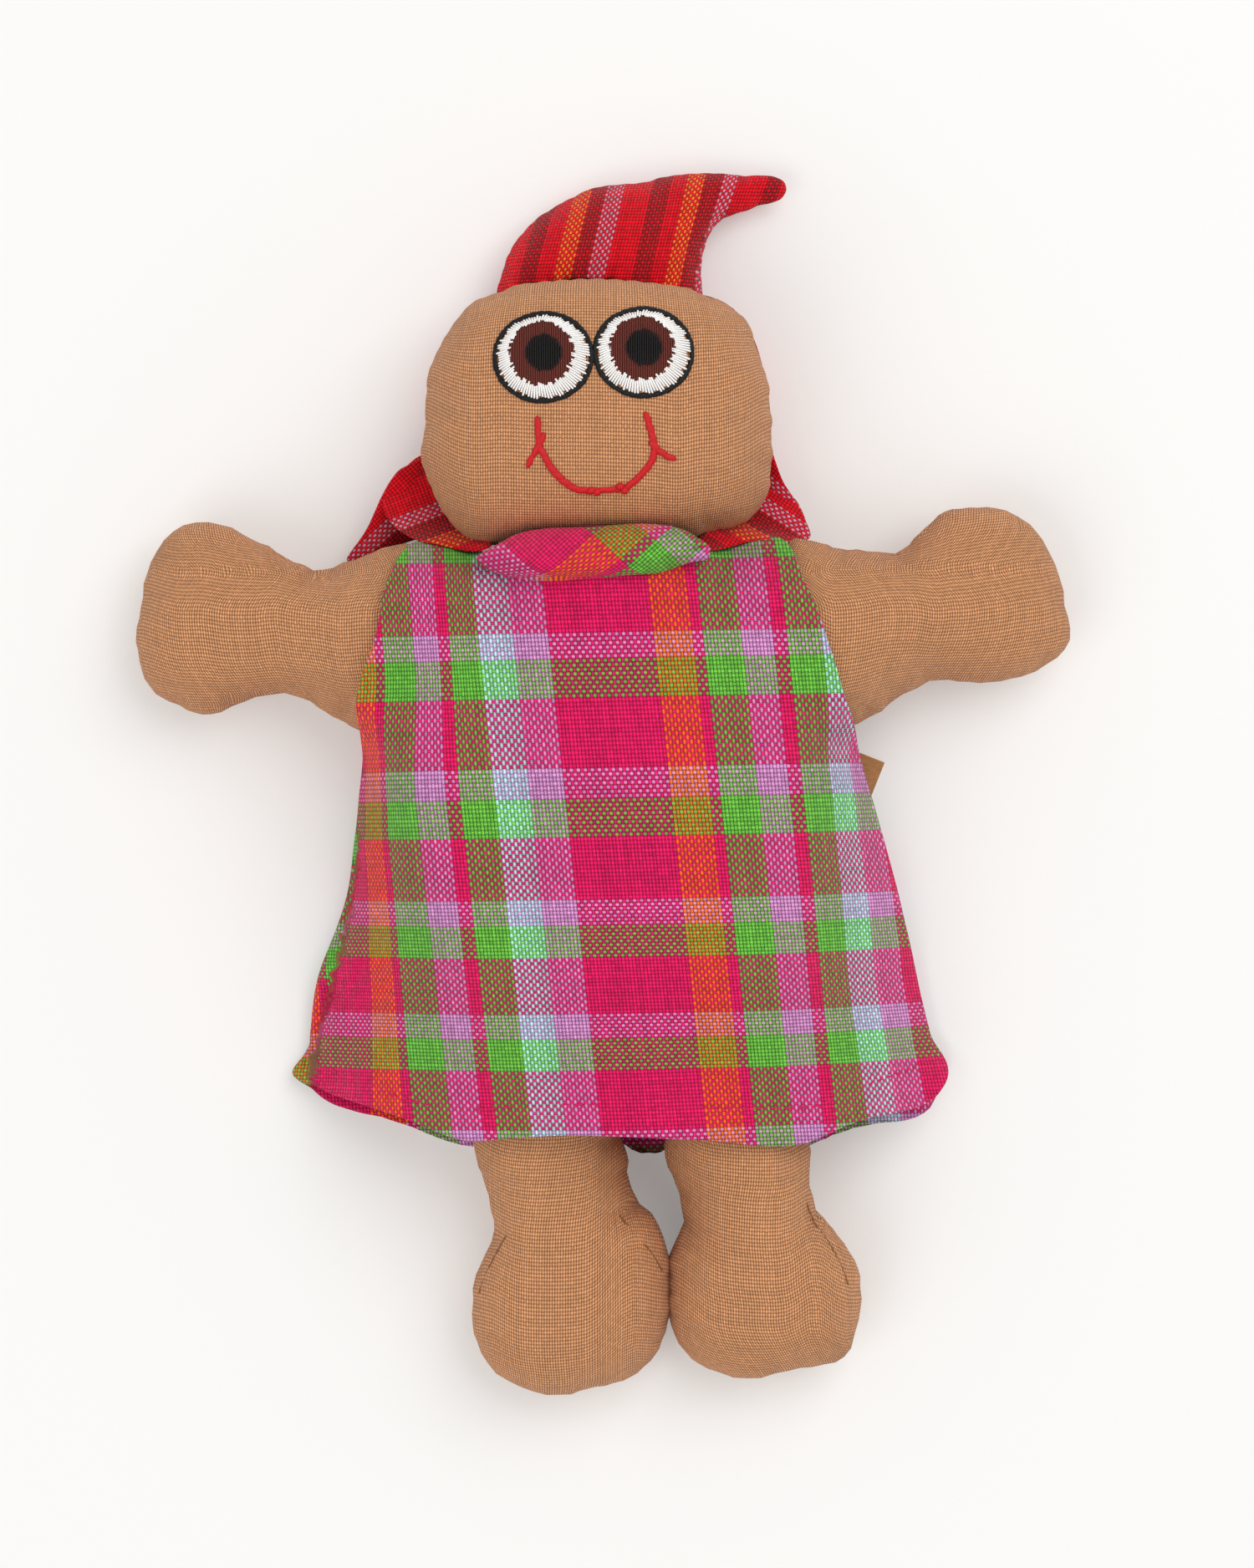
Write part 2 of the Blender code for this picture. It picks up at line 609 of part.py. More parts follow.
def side_seam(panel):
    """Which rim points the two panels are sewn together at, and how high the seam lies."""
    x, y = panel.points.T
    armpit = SHOULDER_Y - ARMPIT_SHARE * ARMHOLE_HEIGHT
    corner = HEM_Y + HEM_CORNER_SHARE * DRESS_LENGTH
    shoulder = SHOULDER_Y + SHOULDER_SHARE * ARMHOLE_HEIGHT
    sides = panel.on_rim & (y < armpit) & (y > corner)
    shoulders = panel.on_rim & (y > shoulder) & (np.abs(x) > NECK_WIDTH)
    share = np.clip((y - corner) / (armpit - corner), 0, 1)
    height = CORNER_SEAM_Z + (SIDE_SEAM_Z - CORNER_SEAM_Z) * share
    return sides | shoulders, np.where(shoulders, BODY_SEAM_Z, height)


def make_dress_back(body_space, tag_space):
    panel = Panel(dress_loop(BACK_HEM_DROP), DRESS_STEP)
    sewn, seam = side_seam(panel)
    floor = panel.kept_clear(np.zeros(len(panel.points)), tag_space.top, 1)
    start = np.where(sewn, seam - GAP / 2, 0.0)
    top = panel.settle(start, sewn, floor + CLOTH, body_space.bottom(panel.points), FALL)
    top = np.maximum(panel.kept_clear(top, body_space.bottom, -1), floor + CLOTH)
    bottom = np.maximum(top - CLOTH * steep(panel, top), floor)
    return layered("dress_back", panel, top, bottom, crimson)


def fold_height(points, x0, y0, x1, y1, height, width):
    """A soft ridge along a line of the dress, fading out at both ends."""
    start = np.array([HEM_X + x0 * HEM_WIDTH, HEM_Y + y0 * DRESS_LENGTH])
    along = np.array([HEM_X + x1 * HEM_WIDTH, HEM_Y + y1 * DRESS_LENGTH]) - start
    share = np.clip((points - start) @ along / (along @ along), 0, 1)
    away = np.linalg.norm(points - start - share[:, None] * along, axis=1)
    return height * np.exp(-(away / width) ** 2) * smoothstep(share * 3)


def make_dress_front(body_space, back_space):
    panel = Panel(dress_loop(0.0), DRESS_STEP)
    sewn, seam = side_seam(panel)

    def limit(places):
        return np.maximum(body_space.top(places), back_space.top(places))

    low = np.maximum(limit(panel.points), 0.0)
    start = np.where(sewn, np.maximum(seam + GAP / 2, low), low)
    bottom = panel.settle(start, sewn, low, NOWHERE_ABOVE, 0.0)
    bottom = bottom + (1 - sewn) * DRESS_LIFT * smoothstep((bottom - low) / DRESS_LIFT_ROOM)
    for fold in FOLDS:
        bottom = bottom + (1 - sewn) * fold_height(panel.points, *fold)
    bottom = panel.kept_clear(bottom, limit, 1)
    top = bottom + CLOTH * steep(panel, bottom)
    return layered("dress_front", panel, top, bottom, crimson)


def make_scarf(head_space, dress_space):
    points = [(SCARF_X + x * SCARF_SPAN, SCARF_Y + y * SCARF_WIDTH) for x, y in SCARF_OUTLINE]
    panel = Panel(smooth_line(points, SCARF_STEP), SCARF_STEP)

    def limit(places):
        return np.maximum(head_space.top(places), dress_space.top(places))

    low = np.maximum(limit(panel.points), BODY_SEAM_Z)
    bottom = panel.settle(low, panel.on_rim, low, NOWHERE_ABOVE, SCARF_SAG)
    bottom = panel.kept_clear(bottom, limit, 1)
    free = np.zeros(len(bottom), bool)
    crown = panel.settle(bottom, free, bottom, NOWHERE_ABOVE, 0.0, CROWN_EASING)
    top = crown + CLOTH + domed(panel.fullness(), SCARF_THICKNESS)
    return layered("scarf", panel, top, bottom, crimson)


def ellipse(x, y, width, height):
    angles = np.arange(EYE_SIDES) * 2 * np.pi / EYE_SIDES
    return np.column_stack([x + width / 2 * np.cos(angles), y + height / 2 * np.sin(angles)])


def satin_patch(name, outer, inner, head_heights, material):
    """Thread laid over the face between two loops, or over a whole disc."""
    count, rows = EYE_SIDES, 3
    rings = [outer + (inner - outer) * share for share in np.linspace(0, 1, rows)]
    patch = bmesh.new()
    layers = []
    for raise_by in (GAP, GAP + THREAD):
        layer = []
        for ring in rings:
            z = head_heights.top(ring) + raise_by
            layer.append([patch.verts.new((*p, h)) for p, h in zip(ring, z)])
        layers.append(layer)
    lower, upper = layers
    solid_disc = np.ptp(inner, axis=0).max() < MERGE
    if solid_disc:
        for layer in layers:
            bmesh.ops.pointmerge(patch, verts=layer[-1], merge_co=layer[-1][0].co)
            layer[-1] = [next(v for v in layer[-1] if v.is_valid)] * count
    for i in range(count):
        j = (i + 1) % count
        for k in range(rows - 1):
            quads = (
                [upper[k][i], upper[k][j], upper[k + 1][j], upper[k + 1][i]],
                [lower[k + 1][i], lower[k + 1][j], lower[k][j], lower[k][i]],
            )
            for quad in quads:
                patch.faces.new(list(dict.fromkeys(quad)))
        patch.faces.new((lower[0][i], lower[0][j], upper[0][j], upper[0][i]))
        if not solid_disc:
            patch.faces.new((upper[-1][i], upper[-1][j], lower[-1][j], lower[-1][i]))
    bmesh.ops.recalc_face_normals(patch, faces=patch.faces)
    mesh = bpy.data.meshes.new(name)
    patch.to_mesh(mesh)
    patch.free()
    mesh.shade_smooth()
    return add_object(name, mesh, material)


def make_eye(side, sign, head_heights):
    x, y = EYE_X + sign * EYE_SPACING / 2, EYE_Y + sign * EYE_TILT / 2
    iris_x, iris_y = x + IRIS_SHIFT_X, y + IRIS_SHIFT_Y
    pupil_x = iris_x + PUPIL_SHIFT_X
    width, height = EYE_WIDTH - 2 * EYE_LINE, EYE_HEIGHT - 2 * EYE_LINE
    clear = 2 * STITCH_GAP
    patches = [
        ("eye_outline", black, (x, y, EYE_WIDTH, EYE_HEIGHT), (x, y, width, height)),
        ("eye_white", white, (x, y, width - clear, height - clear),
         (iris_x, iris_y, IRIS_WIDTH + clear, IRIS_WIDTH + clear)),
        ("iris", brown, (iris_x, iris_y, IRIS_WIDTH, IRIS_WIDTH),
         (pupil_x, iris_y, PUPIL_WIDTH + clear, PUPIL_WIDTH + clear)),
        ("pupil", black, (pupil_x, iris_y, PUPIL_WIDTH, PUPIL_WIDTH), (pupil_x, iris_y, 0, 0)),
    ]
    for piece, material, outer, inner in patches:
        satin_patch(side + "_" + piece, ellipse(*outer), ellipse(*inner), head_heights, material)


def make_stitch_line(name, shares, head_heights):
    points = [(SMILE_X + x * SMILE_WIDTH, SMILE_Y + y * SMILE_HEIGHT) for x, y in shares]
    flat = smooth_line(points, SMILE_THREAD * 1.2, closed=False)[:, :2]
    z = head_heights.top(flat) + GAP + SMILE_THREAD / 2
    curve = bpy.data.curves.new(name, "CURVE")
    curve.dimensions = "3D"
    curve.bevel_depth = SMILE_THREAD / 2
    curve.bevel_resolution = 1
    curve.use_fill_caps = True
    spline = curve.splines.new("POLY")
    spline.points.add(len(flat) - 1)
    for point, (x, y), height in zip(spline.points, flat, z):
        point.co = (x, y, height, 1.0)
    return add_object(name, curve, scarlet)


def tag_loop():
    across = np.array([-np.cos(TAG_TURN), -np.sin(TAG_TURN)]) * TAG_WIDTH
    along = np.array([np.sin(TAG_TURN), -np.cos(TAG_TURN)]) * TAG_LENGTH
    corner = np.array([TAG_CORNER_X, TAG_CORNER_Y])
    return np.array([corner, corner + across, corner + across + along, corner + along])


def make_tag():
    card = bmesh.new()
    loops = [[card.verts.new((*p, z)) for p in tag_loop()] for z in (0.0, TAG_THICKNESS)]
    for loop in loops:
        card.faces.new(loop)
    for i in range(4):
        j = (i + 1) % 4
        card.faces.new((loops[0][i], loops[0][j], loops[1][j], loops[1][i]))
    bmesh.ops.recalc_face_normals(card, faces=card.faces)
    mesh = bpy.data.meshes.new("swing_tag")
    card.to_mesh(mesh)
    card.free()
    return add_object("swing_tag", mesh, kraft)


scene = bpy.context.scene
for leftover in list(bpy.data.objects):
    bpy.data.objects.remove(leftover)
doll = bpy.data.objects.new("doll", None)
scene.collection.objects.link(doll)

skin = cloth_material("tan_canvas", (0.50, 0.27, 0.13))
crimson = cloth_material("crimson_handloom_cotton", (0.69, 0.007, 0.10))
hood_red = cloth_material("red_handloom_cotton", (0.58, 0.007, 0.026))
black = cloth_material("black_floss", (0.007, 0.006, 0.005), 0.6)
white = cloth_material("white_floss", (0.85, 0.83, 0.80), 0.6)
brown = cloth_material("brown_floss", (0.10, 0.023, 0.016), 0.6)
scarlet = cloth_material("scarlet_floss", (0.58, 0.005, 0.010), 0.6)
kraft = cloth_material("kraft_card", (0.39, 0.17, 0.07), 0.8)

tag = make_tag()
head = make_head()
head_clearance = swollen("head_clearance", head, GAP)
body = make_body(head_clearance)
head_heights, head_space = Heights(head), Heights(head, GAP)
hood_back = make_hood_back(head_space, Heights(body, GAP))
peak_socket = swollen("peak_socket", head_prism("head_prism", head_loop()), GAP)
hood_cap = make_hood_cap(peak_socket)
dress_back = make_dress_back(Heights(body, GAP), Heights(tag, GAP))
dress_front = make_dress_front(Heights(body, DRESS_EASE), Heights(dress_back, GAP))
scarf = make_scarf(head_space, Heights(dress_front, GAP))
make_eye("left", -1, head_heights)
make_eye("right", 1, head_heights)
make_stitch_line("smile", SMILE, head_heights)
make_stitch_line("left_cheek_stitch", LEFT_TICK, head_heights)
make_stitch_line("right_cheek_stitch", RIGHT_TICK, head_heights)
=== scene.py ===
# %% [markdown]
# # A cloth doll, lying on its back
#
# The doll is cut from tan canvas, stuffed, and dressed in handloom cotton: a plaid dress with a
# soft scarf at the neck, and a striped red hood that ends in a bent peak. Its face is embroidered.
# This lesson starts from plain solids of every piece and gives each one its cloth.
#
# The solids lie in metres, with +X to the right, +Y towards the top of the head and +Z up from
# the surface that the doll lies on. They stay where they are, and each new piece is made in place.

# %% Load the solids
import math

import bmesh
import bpy
import numpy as np
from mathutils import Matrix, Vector, noise
from mathutils.bvhtree import BVHTree


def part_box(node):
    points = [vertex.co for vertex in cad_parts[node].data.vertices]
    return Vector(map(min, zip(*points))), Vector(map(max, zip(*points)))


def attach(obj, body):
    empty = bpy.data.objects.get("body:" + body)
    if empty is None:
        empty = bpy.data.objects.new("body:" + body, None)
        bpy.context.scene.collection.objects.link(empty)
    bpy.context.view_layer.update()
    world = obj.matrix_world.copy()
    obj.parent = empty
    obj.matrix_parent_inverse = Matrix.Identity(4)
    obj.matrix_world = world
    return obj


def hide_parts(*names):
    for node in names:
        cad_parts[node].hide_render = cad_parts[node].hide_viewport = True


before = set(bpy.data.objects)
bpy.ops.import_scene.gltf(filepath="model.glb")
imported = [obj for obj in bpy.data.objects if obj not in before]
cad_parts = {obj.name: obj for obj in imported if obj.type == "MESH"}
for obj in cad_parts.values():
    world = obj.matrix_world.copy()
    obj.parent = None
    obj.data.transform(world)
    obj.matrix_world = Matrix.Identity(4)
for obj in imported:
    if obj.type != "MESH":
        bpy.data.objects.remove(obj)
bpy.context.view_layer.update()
scene = bpy.context.scene
MM = 0.001

# %% [markdown]
# ## Helpers for materials and objects
#
# Paint and dye are easiest to name by the hex values of a colour picker. Shaders work in linear
# light, so one function turns a hex value into linear numbers. A second small function adds a node,
# sets it and links its inputs, and every material and every node tree below is built with it. Two
# more start a named material with its finish, and put a new object into the scene.

# %% Colours and nodes
def linear(code):
    """A hex colour as the linear values that a shader takes."""
    parts = [int(code[i:i + 2], 16) / 255 for i in (1, 3, 5)]
    light = [p / 12.92 if p <= 0.04045 else ((p + 0.055) / 1.055) ** 2.4 for p in parts]
    return (*light, 1.0)


def add(tree, kind, inputs=None, **settings):
    """Adds a node, which is a shader node unless kind says otherwise. An input takes a value, or the
    output or the node that it is linked to."""
    made = tree.nodes.new(kind if "Node" in kind else "ShaderNode" + kind)
    for name, value in settings.items():
        setattr(made, name, value)
    for key, value in (inputs or {}).items():
        if isinstance(value, bpy.types.Node):
            value = value.outputs[0]
        if isinstance(value, bpy.types.NodeSocket):
            tree.links.new(value, made.inputs[key])
        else:
            made.inputs[key].default_value = value
    return made


def new_material(name, finish):
    """A named material, its tree and its shader. finish holds values for the shader's own sockets."""
    material = bpy.data.materials.new(name)
    material.use_nodes = True
    shader = material.node_tree.nodes["Principled BSDF"]
    for socket, value in finish.items():
        shader.inputs[socket].default_value = value
    return material, material.node_tree, shader


def placed(name, data):
    """A new object in the scene."""
    made = bpy.data.objects.new(name, data)
    scene.collection.objects.link(made)
    return made


print("white in linear light:", linear("#FFFFFF"))

# %% [markdown]
# ## Camera, floor and light
#
# The doll is seen from straight above, from far enough away that its sides hardly show. The lens
# follows from the distance and from the height of the picture at the seam of the body. The floor
# is a sheet of white card, which keeps the doll's soft shadow, paled by a painted glow that only the
# camera sees. A large lamp high on the right and a weaker one on the left give the light of a
# studio tent, and the white world fills the shadows.

# %% Camera
CAMERA_X, CAMERA_Y = 4.8 * MM, 0.2 * MM
SEAM_HEIGHT = 17 * MM
CAMERA_DISTANCE = 1.2
VIEW_HEIGHT = 318.9 * MM

camera_data = bpy.data.cameras.new("camera")
camera = placed("camera", camera_data)
camera.location = (CAMERA_X, CAMERA_Y, SEAM_HEIGHT + CAMERA_DISTANCE)
camera_data.lens = camera_data.sensor_width * CAMERA_DISTANCE / VIEW_HEIGHT
scene.camera = camera
print("lens:", round(camera_data.lens), "mm")

# %% Floor
FLOOR_SIZE = 4.0
CARD_GLOW = 0.22

# Uncoated card is matt, so it shows the doll's soft shadow and no reflection. To the camera only,
# about a fifth of its white is a painted glow, which keeps the shadow pale.
white = linear("#FBFAF8")
card, tree, shader = new_material("white card, uncoated", {
    "Emission Color": white, "Roughness": 0.95, "Specular IOR Level": 0.1})
seen = add(tree, "LightPath").outputs["Is Camera Ray"]
dimmer = [part * (1 - CARD_GLOW) for part in white[:3]] + [1]
ground = add(tree, "Mix", {0: seen, 6: white, 7: dimmer}, data_type="RGBA")
glow = add(tree, "Math", {0: seen, 1: CARD_GLOW}, operation="MULTIPLY")
tree.links.new(ground.outputs[2], shader.inputs["Base Color"])
tree.links.new(glow.outputs[0], shader.inputs["Emission Strength"])

bpy.ops.mesh.primitive_plane_add(size=FLOOR_SIZE)
floor = bpy.context.object
floor.name = "floor"
floor.data.materials.append(card)
print("floor:", FLOOR_SIZE, "m across")

# %% Lamps and world
KEY_POWER, FILL_POWER, WORLD_STRENGTH = 16.9, 10.0, 0.575


def area_lamp(name, place, size, power):
    """A square soft lamp that points at the middle of the doll."""
    data = bpy.data.lights.new(name, "AREA")
    data.size = size
    data.energy = power
    lamp = placed(name, data)
    lamp.location = place
    lamp.rotation_euler = (-Vector(place)).to_track_quat("-Z", "Y").to_euler()


area_lamp("key lamp", (0.8, 0.8, 1.7), 1.5, KEY_POWER)
area_lamp("fill lamp", (-1.0, -0.9, 1.6), 1.4, FILL_POWER)
scene.world = bpy.data.worlds.new("white studio")
scene.world.use_nodes = True
background = scene.world.node_tree.nodes["Background"]
background.inputs["Color"].default_value = (1, 1, 1, 1)
background.inputs["Strength"].default_value = WORLD_STRENGTH
scene.view_settings.view_transform = "Standard"
print("lamps: 2, world strength:", WORLD_STRENGTH)

# %% [markdown]
# ## Working on a copy of a solid
#
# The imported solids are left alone. A piece that is to look like cloth starts as a copy of its
# solid: the copy's doubled corners are merged, it is smoothed by subdivision, and its modifiers are
# turned into plain mesh before anything else is done to it.

# %% Copies, points and modifiers
WELD = 0.01 * MM
FLOOR_LIMIT = np.array((-np.inf, -np.inf, 0.0))


def points_of(obj):
    """The mesh's points as an array of rows."""
    flat = np.empty(len(obj.data.vertices) * 3)
    obj.data.vertices.foreach_get("co", flat)
    return flat.reshape(-1, 3)


def normals_of(obj):
    flat = np.empty(len(obj.data.vertices) * 3)
    obj.data.vertices.foreach_get("normal", flat)
    return flat.reshape(-1, 3)


def move_points(obj, points):
    obj.data.vertices.foreach_set("co", np.ascontiguousarray(points, float).ravel())
    obj.data.update()


def applied(obj):
    """Turns what the modifiers show into the object's own mesh."""
    graph = bpy.context.evaluated_depsgraph_get()
    mesh = bpy.data.meshes.new_from_object(obj.evaluated_get(graph), depsgraph=graph)
    obj.modifiers.clear()
    obj.data = mesh
    return obj


def subdivided(obj, levels):
    """Makes the object finer and smooth, with all of its modifiers applied."""
    finer = obj.modifiers.new("finer", "SUBSURF")
    finer.levels = finer.render_levels = levels
    applied(obj).data.shade_smooth()
    return obj


def copied(node, name, levels):
    """A copy of a solid as one smooth closed mesh."""
    made = placed(name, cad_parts[node].data.copy())
    shape = bmesh.new()
    shape.from_mesh(made.data)
    bmesh.ops.remove_doubles(shape, verts=shape.verts, dist=WELD)
    shape.to_mesh(made.data)
    shape.free()
    made.data.materials.clear()
    for old in [a for a in made.data.attributes if a.name == "custom_normal"]:
        made.data.attributes.remove(old)
    return subdivided(made, levels)


def ready(obj, material, slot, *nodes):
    """The last step for a piece: its material, its body and the solids that it stands for."""
    move_points(obj, np.maximum(points_of(obj), FLOOR_LIMIT))
    obj.data.materials.clear()
    obj.data.materials.append(material)
    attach(obj, "root")
    if nodes:
        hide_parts(*nodes)
    area = sum(face.area for face in obj.data.polygons) / MM ** 2 / 100
    print(obj.name, len(obj.data.polygons), "faces,", round(area, 1), "square cm of surface")


print("doubled corners merged within", WELD / MM, "mm")

# %% [markdown]
# ## How threads run over a curved piece
#
# A woven pattern has to keep its size where the cloth turns away from the eye, so it can't simply
# be projected from above. Each piece gets a UV map in metres instead: the heights of one side of
# the piece are read over a grid, and the length of cloth along every row and column of the grid is
# added up. Near an edge the cloth is steep, so more of it passes for the same step sideways, and
# down a side that the heights can't tell apart it goes on by as much as it falls.

# %% Cloth lengths over a piece
CLOTH_MAP = "cloth"
RELIEF_STEP = 1.0 * MM
STEEPEST = 3.0
EASING_ROUNDS = 3
LENGTH_ROUNDS = 10


class Relief:
    """Heights of one side of a piece over a grid. side is 1 for the upper side, -1 for the lower."""

    def __init__(self, obj, side):
        tree = BVHTree.FromObject(obj, bpy.context.evaluated_depsgraph_get())
        places = points_of(obj)[:, :2]
        self.low = places.min(0) - RELIEF_STEP
        counts = np.ceil((places.max(0) - self.low) / RELIEF_STEP).astype(int) + 2
        self.height = np.full(counts, np.nan)
        for i, j in np.ndindex(*counts):
            x, y = self.low + np.array((i, j)) * RELIEF_STEP
            hit = tree.ray_cast(Vector((x, y, side)), Vector((0, 0, -side)))[0]
            if hit:
                self.height[i, j] = hit.z
        self.eased = self.height
        for _ in range(EASING_ROUNDS):
            self.eased = self.smoothed(self.eased)

    @staticmethod
    def smoothed(grid):
        """Each height as the mean of itself and of the known ones around it."""
        wide = np.pad(grid, 1, constant_values=np.nan)
        around = [wide[1:-1, 1:-1], wide[2:, 1:-1], wide[:-2, 1:-1],
                  wide[1:-1, 2:], wide[1:-1, :-2]]
        known = np.sum([~np.isnan(a) for a in around], axis=0)
        mean = np.nansum(around, axis=0) / np.maximum(known, 1)
        return np.where(np.isnan(grid), np.nan, mean)

    def lengths(self, axis):
        """How much cloth there is from the grid's zero line to each place, along one axis."""
        slope = np.nan_to_num(np.diff(self.eased, axis=axis) / RELIEF_STEP)
        piece = RELIEF_STEP * np.sqrt(1 + np.minimum(np.abs(slope), STEEPEST) ** 2)
        run = np.cumsum(piece, axis=axis)
        run = np.concatenate([np.zeros_like(np.take(run, [0], axis)), run], axis)
        level = np.indices(run.shape)[axis] * RELIEF_STEP
        extra = run - level
        for _ in range(LENGTH_ROUNDS):
            extra = self.smoothed(extra)
        run = level + extra
        zero = int(np.clip(round(-self.low[axis] / RELIEF_STEP), 0, run.shape[axis] - 1))
        return run - np.take(run, [zero], axis)

    def read(self, grid, places):
        """The grid's value at each place, between its four nearest corners."""
        where = (places[:, :2] - self.low) / RELIEF_STEP
        cell = np.clip(np.floor(where).astype(int), 0, np.array(grid.shape) - 2)
        a, b = np.clip(where - cell, 0, 1).T
        i, j = cell.T
        return ((1 - a) * (1 - b) * grid[i, j] + a * (1 - b) * grid[i + 1, j]
                + (1 - a) * b * grid[i, j + 1] + a * b * grid[i + 1, j + 1])


def lay_threads(obj, turn=lambda u, v, places: (u, v)):
    """Writes the cloth map. turn may slant the threads of a piece that isn't cut straight."""
    places = points_of(obj)
    facing = normals_of(obj)
    sides = []
    for side in (1, -1):
        relief = Relief(obj, side)
        rim = np.nanmin(side * relief.eased) * side
        height = relief.read(np.where(np.isnan(relief.eased), rim, relief.eased), places)
        fall = np.maximum(0, side * (height - places[:, 2]))
        u, v = (relief.read(relief.lengths(axis), places) + facing[:, axis] * fall
                for axis in (0, 1))
        sides.append(np.column_stack(turn(u, v, places)))
    upper, lower = sides
    normals = np.empty(len(obj.data.polygons) * 3)
    obj.data.polygons.foreach_get("normal", normals)
    faces_up = normals[2::3] >= 0
    layer = obj.data.uv_layers.new(name=CLOTH_MAP)
    corners = np.empty(len(obj.data.loops), int)
    obj.data.loops.foreach_get("vertex_index", corners)
    sizes = np.empty(len(obj.data.polygons), int)
    obj.data.polygons.foreach_get("loop_total", sizes)
    above = np.repeat(faces_up, sizes)
    layer.data.foreach_set("uv", np.where(above[:, None], upper[corners], lower[corners]).ravel())


print("cloth map:", CLOTH_MAP, "read every", RELIEF_STEP / MM, "mm")

# %% [markdown]
# ## Plain weave
#
# Every cloth on the doll is a plain weave: each weft thread passes over one warp thread and under
# the next. Where a stripe of the warp crosses a band of another colour in the weft, the two colours
# alternate thread by thread, and the eye mixes them into a checked ground of fine dots. So the
# material works thread by thread: it numbers the threads, finds each one's colour in the order of
# stripes, and shows whichever of the two lies on top. The threads are round: a bump raises the
# cloth a little, and their shading is painted into the colour, as painted shade in the gaps between
# the threads and a painted highlight on their crowns. Light that bounces between two threads takes
# on the colour of both, and this is painted too: each colour is tinted by the thread below, which
# darkens a crossing of crimson and green, and the painted shade in the gaps deepens the colour. No
# two crossings lie quite the same, so each one is a little lighter or darker than the next. The warp
# is held tight on a loom while the weft is beaten in, so the warp threads stand closer together and
# show as longer dots. How far apart the threads stand was read off the picture for the canvas and
# the dress, at the scale of the solids, and is an estimate for the hood.

# %% Woven material
# Painted light in the weave: the first is painted bounce light from the thread below, the second a painted
# highlight on the threads' crowns, the third painted shade in the gaps between them.
PAINTED_BOUNCE = 0.38    # how much of the light takes on the lower thread's colour
PAINTED_CROWN_HIGHLIGHT = 0.55     # how much the crowns of the threads lighten, as a share of PAINTED_GAP_SHADE
PAINTED_GAP_SHADE = 0.7      # how much the gaps between the threads darken
BUMP, BUMP_RISE = 0.7, 0.25


def stripes(ramp, order):
    """Writes the order of stripes, as widths and colours, into a colour ramp with hard edges."""
    whole = sum(width for width, _ in order)
    ramp.interpolation = "CONSTANT"
    start = 0.0
    for k, (width, colour) in enumerate(order):
        stop = ramp.elements[0] if k == 0 else ramp.elements.new(start / whole)
        stop.color = linear(colour)
        start += width
    if len(order) == 1:
        ramp.elements[1].color = linear(order[0][1])
    else:
        ramp.elements.remove(ramp.elements[-1])
    return whole


